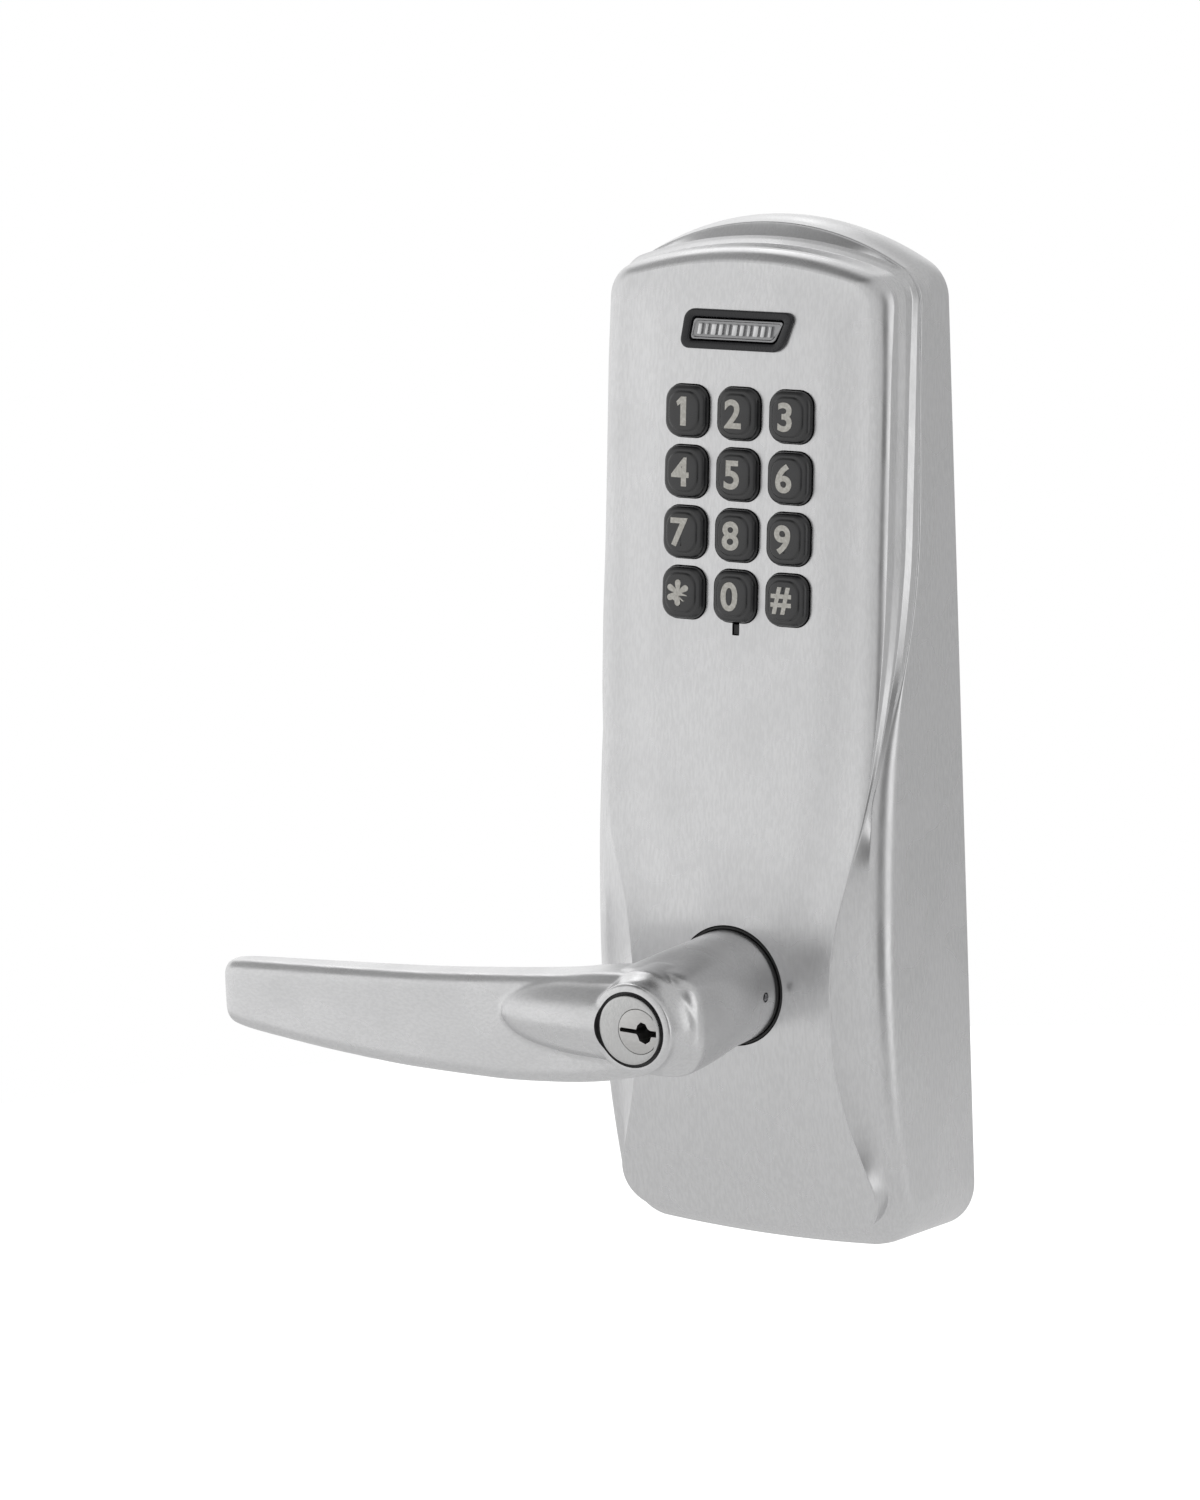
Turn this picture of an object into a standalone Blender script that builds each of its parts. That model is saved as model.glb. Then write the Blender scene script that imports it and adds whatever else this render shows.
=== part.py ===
"""Outside half of an electronic keypad lever lock.

A tall cast housing with an arched top carries twelve keys, a badge button and a
lever with a key cylinder.  Lengths below are in millimetres and become metres
when a mesh is made.  The origin is the centre of the rear face, which lies on
the door.  +Y points into the door, +Z is up, and "depth" is the distance in
front of the door, so y = -depth.
"""
import math

import bmesh
import bpy
import numpy as np
from mathutils import Matrix, Vector

MM = 0.001
GAP = 0.3                       # clearance left between neighbouring pieces

# ---- housing -----------------------------------------------------------------
HALF_WIDTH = 46.0
HALF_HEIGHT = 138.5
WALL = 3.2
AXIS_Z = -62.0                  # height of the lever axis
ARCH_RADIUS = 82.0              # top edge at the door
FRAME_ARCH_RADIUS = 118.0       # outer edge of the frame round the panel
PANEL_ARCH_RADIUS = 134.0       # top edge of the raised front panel
TOP_CORNER = 11.0
FRAME_CORNER = 10.0
PANEL_CORNER = 8.0
FLOOR_RADIUS = 420.0
FLOOR_CORNER = 14.0
FLOOR_DRAFT = 2.6               # how far the floor rises from the door to the front edge

# Shape along the height: (z, value) pairs read by a smooth curve.
PANEL_DEPTH = [(138.5, 27.6), (90, 32.5), (42, 37.7), (0, 42.4), (-31, 46.2), (-62, 48.1),
               (-92, 47.0), (-110, 45.0), (-124, 42.8), (-138.5, 39.7)]
PANEL_CROWN = [(138.5, 1.3), (60, 1.4), (10, 1.2), (-31, 0.6), (-62, 0.4), (-92, 0.6), (-138.5, 1.4)]
PANEL_HALF = [(138.5, 45.75), (40, 45.75), (16, 45.0), (0, 43.4), (-15, 40.6), (-31, 36.2),
              (-45, 32.6), (-62, 31.0), (-77, 31.0), (-94, 33.4), (-109, 37.6), (-120, 40.9),
              (-128, 42.2), (-138.5, 42.6)]
WALL_END = [(138.5, 12.0), (92, 16.2), (73, 17.2), (55, 18.9), (47, 20.4), (37, 23.0), (27, 26.8),
            (16, 31.2), (0, 36.0), (-15, 38.3), (-31, 40.0), (-62, 41.4), (-91, 40.3), (-110, 37.8),
            (-124, 35.2), (-138.5, 32.5)]
FRAME_DROP = [(138.5, 12.2), (55, 12.2), (47, 11.6), (37, 10.3), (27, 8.9), (16, 6.4), (0, 3.4),
              (-15, 0.9), (-25, 0.35), (-138.5, 0.35)]
BOX_EDGE = [(138.5, 0.0), (24, 0.0), (4, 0.75), (-12, 1.0), (-138.5, 1.0)]

# Stepped frame round the panel: (share of the drop, inset at the sides, inset at the top).
FRAME_STEPS = [(1.00, 0.00, 2.65), (0.86, 0.95, 4.00), (0.70, 1.05, 5.50), (0.47, 1.85, 5.70),
               (0.22, 2.00, 5.85), (0.10, 3.00, 6.40), (0.03, 4.30, 7.20), (0.00, 6.00, 8.20)]
PANEL_TOP_INSET = 0.9
PANEL_FLOOR_INSET = 8.0

SIDE_STEPS = 30
CORNER_STEPS = 6
EDGE_STEPS = 7
PANEL_COLUMNS = 12

# ---- keypad ------------------------------------------------------------------
KEY_PITCH_X = 16.0
KEY_PITCH_Z = 16.0
KEY_TOP_ROW_Z = 90.0
KEY_WIDTH = 12.7
KEY_HEIGHT = 13.8
KEY_CORNER = 4.0
KEY_STAND = 2.7                 # how far a key stands out of the panel
KEY_CENTRE_X = 0.3
KEY_ROWS = [("1", "2", "3"), ("4", "5", "6"), ("7", "8", "9"), ("star", "0", "hash")]
PANEL_TILT = math.atan2(PANEL_DEPTH[2][1] - PANEL_DEPTH[1][1], PANEL_DEPTH[1][0] - PANEL_DEPTH[2][0])
MAT_BACK = 7.4                  # mat and board lie this far behind the panel face
BOARD_BACK = 8.7

# ---- badge button ------------------------------------------------------------
BADGE_X = -1.2
BADGE_Z = 111.8
BADGE_WIDTH = 32.6
BADGE_HEIGHT = 10.6
BADGE_SLANT = 1.8
BADGE_RIM = 2.0

# ---- lever, cylinder and the drive behind them -------------------------------
SHANK_RADIUS = 15.35
BORE_RADIUS = 16.5
SHANK_BACK = 41.0
LEVER_BORE = 10.3
CYLINDER_RADIUS = 9.9
CYLINDER_FRONT = 98.0
CYLINDER_BACK = 63.5
PLUG_RADIUS = 6.0
PLUG_OFFSET = 2.9
COLLAR_RADIUS = 12.4
SLEEVE_RADIUS = 12.0
CATCH_DEPTH = 54.5              # distance of the catch hole from the door
CAGE_RADIUS = 26.0
SPINDLE_END = -45.0             # behind the door face
POST_SPACING = 34.9
POST_LENGTH = 40.0
PLATE_THICK = 2.0

# Lever blade sections: (x, top z, bottom z, front depth, back depth), heights from the lever axis.
BLADE = [(6.0, 12.2, -17.0, 90.5, 73.0), (-10, 12.4, -18.6, 91.8, 75.5), (-26, 10.6, -20.0, 92.4, 78.0),
         (-48, 8.6, -20.6, 92.6, 79.8), (-72, 6.8, -20.0, 92.8, 80.8), (-96, 5.6, -18.6, 92.8, 81.6),
         (-116, 4.6, -16.8, 92.4, 82.0), (-130, 3.8, -15.2, 91.8, 82.2), (-136, 3.0, -13.8, 91.0, 82.6)]


# ---- small maths -------------------------------------------------------------
def smooth(table, z):
    """Value of a (z, value) table at z, by monotone cubic interpolation."""
    rows = np.array(sorted(table), dtype=float)
    zs, vs = rows[:, 0], rows[:, 1]
    z = min(max(z, zs[0]), zs[-1])
    steps = np.diff(zs)
    slopes = np.diff(vs) / steps
    tangents = np.zeros(len(zs))
    tangents[0], tangents[-1] = slopes[0], slopes[-1]
    for i in range(1, len(zs) - 1):
        if slopes[i - 1] * slopes[i] > 0:
            w1 = 2 * steps[i] + steps[i - 1]
            w2 = steps[i] + 2 * steps[i - 1]
            tangents[i] = (w1 + w2) / (w1 / slopes[i - 1] + w2 / slopes[i])
    i = min(int(np.searchsorted(zs, z, side="right")) - 1, len(zs) - 2)
    t = (z - zs[i]) / steps[i]
    rise = (1 + 2 * t) * (1 - t) ** 2 * vs[i] + t * t * (3 - 2 * t) * vs[i + 1]
    return rise + steps[i] * (t * (1 - t) ** 2 * tangents[i] - t * t * (1 - t) * tangents[i + 1])


def mix(a, b, t):
    return a + (b - a) * t


def panel_edge_depth(z):
    return smooth(PANEL_DEPTH, z) - smooth(PANEL_CROWN, z)


def panel_depth(x, z, half):
    """Depth of the crowned front panel."""
    return smooth(PANEL_DEPTH, z) - smooth(PANEL_CROWN, z) * (x / half) ** 2


# ---- mesh helpers ------------------------------------------------------------
def collection(name, hidden=False):
    """A fresh collection; the cutters' one stays out of the render."""
    made = bpy.data.collections.new(name)
    bpy.context.scene.collection.children.link(made)
    made.hide_render = hidden
    return made


def material(name, colour, roughness, metallic):
    """A plain Principled material."""
    mat = bpy.data.materials.new(name)
    mat.use_nodes = True
    shader = mat.node_tree.nodes["Principled BSDF"]
    shader.inputs["Base Color"].default_value = (*colour, 1.0)
    shader.inputs["Roughness"].default_value = roughness
    shader.inputs["Metallic"].default_value = metallic
    return mat


def mesh_object(name, bm, where, finish=None):
    """Turn a bmesh drawn in millimetres into an object in metres."""
    bmesh.ops.recalc_face_normals(bm, faces=bm.faces)
    bmesh.ops.scale(bm, vec=(MM, MM, MM), verts=bm.verts)
    mesh = bpy.data.meshes.new(name)
    bm.to_mesh(mesh)
    bm.free()
    obj = bpy.data.objects.new(name, mesh)
    where.objects.link(obj)
    if finish:
        mesh.materials.append(finish)
    return obj


def add_ring(bm, points):
    return [bm.verts.new(p) for p in points]


def bridge(bm, ring_a, ring_b):
    """Join two closed rings that have the same number of points."""
    count = len(ring_a)
    for i in range(count):
        j = (i + 1) % count
        bm.faces.new((ring_a[i], ring_a[j], ring_b[j], ring_b[i]))


def loft(name, rings, where, finish=None):
    """Closed solid through a list of rings, capped at both ends."""
    bm = bmesh.new()
    made = [add_ring(bm, ring) for ring in rings]
    for a, b in zip(made, made[1:]):
        bridge(bm, a, b)
    bm.faces.new(made[0])
    bm.faces.new(made[-1])
    return mesh_object(name, bm, where, finish)


def rounded_rect(width, height, corner, steps=4, slant=0.0):
    """Closed outline (x, z) of a rectangle with round corners; slant leans its sides."""
    points = []
    for quarter in range(4):
        sx = (1, -1, -1, 1)[quarter]
        sz = (1, 1, -1, -1)[quarter]
        for step in range(steps + 1):
            angle = math.radians(90 * quarter + 90 * step / steps)
            x = sx * (width / 2 - corner) + corner * math.cos(angle)
            z = sz * (height / 2 - corner) + corner * math.sin(angle)
            points.append((x + slant * z / height, z))
    return points


def prism(name, outline, y_front, y_back, where, finish=None):
    """Solid with a flat (x, z) outline between two y values."""
    front = [(x, y_front, z) for x, z in outline]
    back = [(x, y_back, z) for x, z in outline]
    return loft(name, [front, back], where, finish)


def box(name, size, centre, where, finish=None):
    bm = bmesh.new()
    bmesh.ops.create_cube(bm, size=1.0)
    bmesh.ops.scale(bm, vec=size, verts=bm.verts)
    bmesh.ops.translate(bm, vec=centre, verts=bm.verts)
    return mesh_object(name, bm, where, finish)


def cylinder(name, radius, low, high, axis, centre, where, finish=None, sides=32, tip_radius=None):
    """Cylinder or cone between two stations on the Y, Z or X axis through centre."""
    bm = bmesh.new()
    far = radius if tip_radius is None else tip_radius
    bmesh.ops.create_cone(bm, cap_ends=True, segments=sides, radius1=radius, radius2=far, depth=high - low)
    turn = {"Z": Matrix.Identity(3),
            "Y": Matrix.Rotation(math.radians(-90), 3, "X"),
            "X": Matrix.Rotation(math.radians(90), 3, "Y")}[axis]
    bmesh.ops.transform(bm, matrix=turn.to_4x4(), verts=bm.verts)
    middle = {"X": (1, 0, 0), "Y": (0, 1, 0), "Z": (0, 0, 1)}[axis]
    shift = Vector(centre) + Vector(middle) * (low + high) / 2
    bmesh.ops.translate(bm, vec=shift, verts=bm.verts)
    return mesh_object(name, bm, where, finish)


def turned(name, profile, centre, where, finish, sides=40):
    """Solid of revolution about a Y-parallel axis; profile is a closed (radius, y) outline."""
    bm = bmesh.new()
    rings = []
    for step in range(sides):
        angle = 2 * math.pi * step / sides
        rings.append(add_ring(bm, [(centre[0] + r * math.cos(angle), y, centre[1] + r * math.sin(angle))
                                   for r, y in profile]))
    for i in range(sides):
        bridge(bm, rings[i], rings[(i + 1) % sides])
    return mesh_object(name, bm, where, finish)


def cut(obj, cutters, operation="DIFFERENCE"):
    """Apply exact Booleans with hidden cutter objects."""
    for cutter in cutters:
        cutter.display_type = "WIRE"
        cutter.hide_render = True
        modifier = obj.modifiers.new(cutter.name, "BOOLEAN")
        modifier.operation = operation
        modifier.solver = "EXACT"
        modifier.object = cutter
    return obj


def set_origin(obj, point):
    """Move the object's origin to a point given in millimetres, leaving its mesh in place."""
    offset = Vector(point) * MM
    obj.data.transform(Matrix.Translation(-offset))
    obj.location = offset
    return obj


def tilt_to_panel(obj, x, z):
    """Place a piece drawn about its own origin on the tilted keypad plane."""
    depth = PANEL_DEPTH[1][1] + (KEY_TOP_ROW_Z - z) * math.tan(PANEL_TILT)
    obj.location = Vector((x, -depth, z)) * MM
    obj.rotation_euler = (-PANEL_TILT, 0, 0)
    return obj


# ---- housing outline ---------------------------------------------------------
def half_outline(half, top, arch, corner, floor, side_steps=SIDE_STEPS):
    """Right half of an arched outline, from its top centre to its bottom centre."""
    points = []
    arch_z = top - arch
    reach = math.sqrt((arch - corner) ** 2 - (half - corner) ** 2)
    lean = math.atan2(half - corner, reach)
    for step in range(EDGE_STEPS):
        a = lean * step / EDGE_STEPS
        points.append((arch * math.sin(a), arch_z + arch * math.cos(a)))
    for step in range(CORNER_STEPS):
        a = mix(lean, math.pi / 2, step / CORNER_STEPS)
        points.append((half - corner + corner * math.sin(a), arch_z + reach + corner * math.cos(a)))
    foot = FLOOR_CORNER - (HALF_WIDTH - half)
    floor_z = floor + FLOOR_RADIUS
    floor_reach = math.sqrt((FLOOR_RADIUS - foot) ** 2 - (half - foot) ** 2)
    floor_lean = math.atan2(half - foot, floor_reach)
    upper, lower = arch_z + reach, floor_z - floor_reach
    for step in range(side_steps):
        points.append((half, mix(upper, lower, step / side_steps)))
    for step in range(CORNER_STEPS):
        a = mix(math.pi / 2, floor_lean, step / CORNER_STEPS)
        points.append((half - foot + foot * math.sin(a), lower - foot * math.cos(a)))
    for step in range(EDGE_STEPS + 1):
        a = floor_lean * (1 - step / EDGE_STEPS)
        points.append((FLOOR_RADIUS * math.sin(a), floor_z - FLOOR_RADIUS * math.cos(a)))
    return points


def mirrored(half_points):
    """Whole closed ring from its right half; the first and last points lie on the centre line."""
    left = [(-x, y, z) for x, y, z in reversed(half_points[1:-1])]
    return half_points + left


def wall_rings():
    """Back edge, side wall and the rounded edge of the housing's lower box."""
    plain = half_outline(HALF_WIDTH, HALF_HEIGHT, ARCH_RADIUS, TOP_CORNER, -HALF_HEIGHT)
    back = [(x, 0.0, z) for x, z in plain]
    low, edge, shoulder = [], [], []
    for x, z in plain:
        box_share = smooth(BOX_EDGE, z)
        end = smooth(WALL_END, z)
        floor_rise = FLOOR_DRAFT * min(max((-100 - z) / 30, 0.0), 1.0)
        for ring, inset, depth in ((low, 0.05, end - 3.0 * box_share - 0.3),
                                   (edge, 0.10 + 0.25 * box_share, end),
                                   (shoulder, 0.18 + 1.40 * box_share, end + 0.4 + 3.1 * box_share)):
            sides = 1 - inset / HALF_WIDTH
            ends = 1 - inset * 1.3 / HALF_HEIGHT
            ring.append((x * sides, -depth, z * ends + floor_rise))
    return [back, low, edge, shoulder]


def frame_rings():
    """Stepped frame round the panel; lower down it shrinks into the panel's crease."""
    rings = []
    for share, side_inset, top_inset in FRAME_STEPS:
        half = PANEL_HALF[0][1] - side_inset
        top = HALF_HEIGHT - PANEL_TOP_INSET - top_inset
        inward = top_inset / FRAME_STEPS[-1][2]
        corner = mix(FRAME_CORNER, PANEL_CORNER, inward)
        arch = mix(FRAME_ARCH_RADIUS, PANEL_ARCH_RADIUS, inward)
        plain = half_outline(half, top, arch, corner, -HALF_HEIGHT + PANEL_FLOOR_INSET + side_inset)
        ring = []
        for x, z in plain:
            pinch = smooth(PANEL_HALF, z) / PANEL_HALF[0][1]
            ring.append((x * pinch, -(panel_edge_depth(z) - share * smooth(FRAME_DROP, z)), z))
        rings.append(ring)
    return rings


def wing_rings(shoulder, crease):
    """Two rings across the hollowed wing between the box edge and the panel's crease."""
    rings = []
    for t in (0.35, 0.7):
        ring = []
        for a, b in zip(shoulder, crease):
            hollow = 0.10 * math.hypot(a[0] - b[0], a[2] - b[2]) * math.sin(math.pi * t)
            ring.append((mix(a[0], b[0], t), mix(a[1], b[1], t) + hollow * 0.5, mix(a[2], b[2], t)))
        rings.append(ring)
    return rings


def fill_rows(bm, ring, depth_at):
    """Close a mirrored ring with rows of points that follow a depth function."""
    half_count = len(ring) // 2
    rows = []
    for i in range(1, half_count):
        right, left = ring[i], ring[len(ring) - i]
        row = [left]
        for column in range(1, PANEL_COLUMNS):
            t = -1 + 2 * column / PANEL_COLUMNS
            x = right.co.x * t
            row.append(bm.verts.new((x, -depth_at(x, right.co.z, right.co.x), right.co.z)))
        row.append(right)
        rows.append(row)
    for upper, lower in zip(rows, rows[1:]):
        for i in range(PANEL_COLUMNS):
            bm.faces.new((upper[i], upper[i + 1], lower[i + 1], lower[i]))
    for apex, row in ((ring[0], rows[0]), (ring[half_count], rows[-1])):
        for i in range(PANEL_COLUMNS):
            bm.faces.new((apex, row[i], row[i + 1]))


def inner_rings():
    """Back edge, side wall and front edge of the hollow inside the housing."""
    plain = half_outline(HALF_WIDTH - WALL, HALF_HEIGHT - WALL, ARCH_RADIUS - WALL, TOP_CORNER - WALL,
                         -HALF_HEIGHT + WALL)
    back = [(x, 0.0, z) for x, z in plain]
    side = [(x, -(smooth(WALL_END, z) - 1.5), z) for x, z in plain]
    front = []
    for x, z in plain:
        pinch = (smooth(PANEL_HALF, z) - 6.0) / (HALF_WIDTH - WALL)
        z_in = z * (1 - 7.0 / HALF_HEIGHT)
        front.append((x * pinch, -(panel_edge_depth(z_in) - WALL - 0.6), z_in))
    return [back, side, front]


def housing_shell(where, finish):
    """Cast shell as one closed solid, before its openings are cut."""
    walls, frame = wall_rings(), frame_rings()
    outer = walls + wing_rings(walls[-1], frame[0]) + frame
    bm = bmesh.new()
    made = [add_ring(bm, mirrored(ring)) for ring in outer]
    for a, b in zip(made, made[1:]):
        bridge(bm, a, b)
    fill_rows(bm, made[-1], panel_depth)
    inside = [add_ring(bm, mirrored(ring)) for ring in inner_rings()]
    for a, b in zip(inside, inside[1:]):
        bridge(bm, a, b)
    bridge(bm, made[0], inside[0])
    fill_rows(bm, inside[-1], lambda x, z, half: panel_depth(x, z, half) - WALL)
    return mesh_object("housing", bm, where, finish)


def build_housing(parts, cutters, finish):
    shell = housing_shell(parts, finish)
    holes = []
    key_hole = rounded_rect(KEY_WIDTH + 2 * GAP, KEY_HEIGHT + 2 * GAP, KEY_CORNER + GAP)
    for row, column, name in key_places():
        hole = prism("hole_" + name, key_hole, -6.0, 12.0, cutters)
        holes.append(tilt_to_panel(hole, column, row))
    badge = rounded_rect(BADGE_WIDTH - 1.6, BADGE_HEIGHT - 1.6, 2.2, slant=BADGE_SLANT)
    holes.append(tilt_to_panel(prism("hole_badge", badge, -6.0, 12.0, cutters), BADGE_X, BADGE_Z))
    slot = box("hole_weep", (2.2, 18.0, 3.4), (0, 3, 0), cutters)
    holes.append(tilt_to_panel(slot, KEY_CENTRE_X, weep_z()))
    holes.append(cylinder("hole_lever", BORE_RADIUS, -60, -30, "Y", (0, 0, AXIS_Z), cutters, sides=48))
    return cut(shell, holes)


# ---- keypad ------------------------------------------------------------------
def key_places():
    """(z, x, name) of every key, row by row from the top."""
    for row, names in enumerate(KEY_ROWS):
        for column, name in enumerate(names):
            yield KEY_TOP_ROW_Z - row * KEY_PITCH_Z, KEY_CENTRE_X + (column - 1) * KEY_PITCH_X, name


def weep_z():
    """Height of the small weep slot under the 0 key."""
    return KEY_TOP_ROW_Z - 3 * KEY_PITCH_Z - KEY_HEIGHT / 2 - GAP - 1.5


def build_key(name, x, z, parts, finish):
    """Rubber key with a pillow top, drawn about its own origin on the panel face."""
    flange_back, flange_front = 5.9, 4.8
    levels = [(flange_back, 1.6, 0.5), (flange_front, 1.6, 0.5), (flange_front, 0.0, 0.0),
              (-KEY_STAND * 0.40, 0.0, 0.0), (-KEY_STAND * 0.72, -0.6, 0.0), (-KEY_STAND * 0.92, -1.8, -0.3),
              (-KEY_STAND, -3.6, -0.8)]
    rings = []
    for y, grow, corner in levels:
        outline = rounded_rect(KEY_WIDTH + grow, KEY_HEIGHT + grow, KEY_CORNER + corner)
        rings.append([(px, y, pz) for px, pz in outline])
    key = loft("key_" + name, rings, parts, finish)
    return tilt_to_panel(key, x, z)


def build_keypad(parts, finishes):
    for z, x, name in key_places():
        build_key(name, x, z, parts, finishes["rubber"])
    middle = KEY_TOP_ROW_Z - 1.5 * KEY_PITCH_Z
    sheet = rounded_rect(3 * KEY_PITCH_X + 6, 4 * KEY_PITCH_Z + 6, 3)
    mat = prism("keypad_mat", sheet, MAT_BACK, MAT_BACK + 1.0, parts, finishes["mat"])
    tilt_to_panel(mat, KEY_CENTRE_X, middle)
    board = prism("keypad_board", sheet, BOARD_BACK, BOARD_BACK + 1.6, parts, finishes["board"])
    tilt_to_panel(board, KEY_CENTRE_X, middle)
    tab = box("weep_tab", (1.6, 3.0, 2.6), (0, 1.9, 0), parts, finishes["mat"])
    tilt_to_panel(tab, KEY_CENTRE_X, weep_z() - 0.15)


def build_badge(parts, cutters, finishes):
    """Slanted bezel, the button in it and the light pipe behind the button."""
    outer = rounded_rect(BADGE_WIDTH, BADGE_HEIGHT, 2.8, slant=BADGE_SLANT)
    neck = rounded_rect(BADGE_WIDTH - 2.2, BADGE_HEIGHT - 2.2, 1.9, slant=BADGE_SLANT)
    rings = [[(x, -1.5, z) for x, z in outer], [(x, -GAP, z) for x, z in outer],
             [(x, -GAP, z) for x, z in neck], [(x, 5.0, z) for x, z in neck]]
    bezel = loft("badge_bezel", rings, parts, finishes["bezel"])
    inner = (BADGE_WIDTH - 2 * BADGE_RIM - 1.0, BADGE_HEIGHT - 2 * BADGE_RIM - 0.4)
    window = prism("hole_window", rounded_rect(*inner, 1.2, slant=BADGE_SLANT * 0.6), -4, 9, cutters)
    tilt_to_panel(window, BADGE_X, BADGE_Z)
    cut(tilt_to_panel(bezel, BADGE_X, BADGE_Z), [window])
    face = rounded_rect(inner[0] - 2 * GAP, inner[1] - 2 * GAP, 1.0, slant=BADGE_SLANT * 0.6)
    button = prism("badge_button", face, -1.1, 3.2, parts, finishes["badge"])
    tilt_to_panel(button, BADGE_X, BADGE_Z)
    pipe = prism("light_pipe", rounded_rect(26, 5.0, 1.0), 5.3, 8.0, parts, finishes["light"])
    tilt_to_panel(pipe, BADGE_X, BADGE_Z)


# ---- lever and cylinder ------------------------------------------------------
def blade_ring(section):
    """Rounded cross-section of the lever blade, in the YZ plane."""
    x, top, bottom, front, back = section
    outline = rounded_rect(top - bottom, front - back, min(4.6, (front - back) * 0.42), steps=3)
    middle_z = AXIS_Z + (top + bottom) / 2
    middle_y = -(front + back) / 2
    return [(x, middle_y + v, middle_z + u) for u, v in outline]


def build_lever(parts, cutters, finish):
    lever = loft("lever", [blade_ring(s) for s in BLADE], parts, finish)
    centre = (0, 0, AXIS_Z)
    shank = cylinder("join_shank", SHANK_RADIUS, -90.0, -SHANK_BACK, "Y", centre, cutters, sides=48)
    collar = cylinder("join_collar", COLLAR_RADIUS, -CYLINDER_FRONT + 0.4, -80.0, "Y", centre, cutters,
                      sides=48)
    boss = cylinder("join_boss", COLLAR_RADIUS, 0.0, 34.0, "Z", (0, 0, 0), cutters, tip_radius=1.5)
    boss.rotation_euler = (0, math.radians(-90), 0)
    boss.location = Vector((0, -87.5, AXIS_Z)) * MM
    cut(lever, [shank, collar, boss], "UNION")
    bore = cylinder("hole_cylinder", LEVER_BORE, -110, -30, "Y", centre, cutters, sides=40)
    catch_hole = cylinder("hole_catch", 1.35, 8.0, 20.0, "X", (0, -CATCH_DEPTH, AXIS_Z), cutters, sides=16)
    cut(lever, [bore, catch_hole])
    return lever


def build_cylinder(parts, cutters, finishes):
    """Key cylinder in the lever: body, off-centre plug and tailpiece."""
    body = cylinder("cylinder_body", CYLINDER_RADIUS, -CYLINDER_FRONT, -CYLINDER_BACK, "Y",
                    (0, 0, AXIS_Z), parts, finishes["cylinder"], sides=40)
    room = cylinder("hole_plug", PLUG_RADIUS + GAP, -110, -30, "Y", (PLUG_OFFSET, 0, AXIS_Z), cutters)
    cut(body, [room])
    plug = cylinder("cylinder_plug", PLUG_RADIUS, -CYLINDER_FRONT - 0.1, -CYLINDER_BACK, "Y",
                    (PLUG_OFFSET, 0, AXIS_Z), parts, finishes["plug"])
    slot = box("hole_keyway", (10.0, 26.0, 1.4), (PLUG_OFFSET, -CYLINDER_FRONT + 11, AXIS_Z), cutters)
    ward = box("hole_ward", (3.6, 26.0, 3.4), (PLUG_OFFSET + 1.2, -CYLINDER_FRONT + 11, AXIS_Z), cutters)
    cut(plug, [slot, ward])
    tail = box("tailpiece", (5.0, 18.0, 1.6), (PLUG_OFFSET, -CYLINDER_BACK + 9 + GAP, AXIS_Z), parts,
               finishes["steel"])
    for piece in (plug, tail):
        set_origin(piece, (PLUG_OFFSET, 0, AXIS_Z))


def build_drive(parts, cutters, finishes):
    """Sleeve, bushing, spring cage and spindle behind the lever."""
    axis = (0, AXIS_Z)
    turned("lever_bushing", [(SHANK_RADIUS + GAP, -47.6), (BORE_RADIUS - GAP, -47.6),
                             (BORE_RADIUS - GAP, -39.2), (SHANK_RADIUS + GAP, -39.2)], axis, parts,
           finishes["nylon"], sides=48)
    sleeve = cylinder("drive_sleeve", SLEEVE_RADIUS, -SHANK_BACK + GAP, -3.0, "Y", (0, 0, AXIS_Z), parts,
                      finishes["steel"])
    tab = box("join_tab", (10.0, 3.0, 6.0), (15.0, -33.5, AXIS_Z), cutters)
    cut(sleeve, [tab], "UNION")
    cut(sleeve, [cylinder("hole_sleeve", 8.5, -60, 10, "Y", (0, 0, AXIS_Z), cutters)])
    set_origin(sleeve, (0, 0, AXIS_Z))
    floor, rim = -3.2, -36.5
    turned("spring_cage", [(CAGE_RADIUS, floor), (CAGE_RADIUS, rim), (CAGE_RADIUS - 2, rim),
                           (CAGE_RADIUS - 2, floor - 2), (SLEEVE_RADIUS + 0.6, floor - 2),
                           (SLEEVE_RADIUS + 0.6, floor)], axis, parts, finishes["zinc"])
    turned("cage_cover", [(CAGE_RADIUS, rim - GAP), (CAGE_RADIUS, rim - 1.8),
                          (SLEEVE_RADIUS + 0.6, rim - 1.8), (SLEEVE_RADIUS + 0.6, rim - GAP)],
           axis, parts, finishes["steel"])
    spindle = cylinder("spindle", 5.2, -38.0, -SPINDLE_END, "Y", (0, 0, AXIS_Z), parts, finishes["steel"],
                       sides=24)
    flat = box("hole_flat", (20, 140, 10), (0, 0, AXIS_Z - 6.5), cutters)
    cut(spindle, [flat])
    set_origin(spindle, (0, 0, AXIS_Z))


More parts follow.
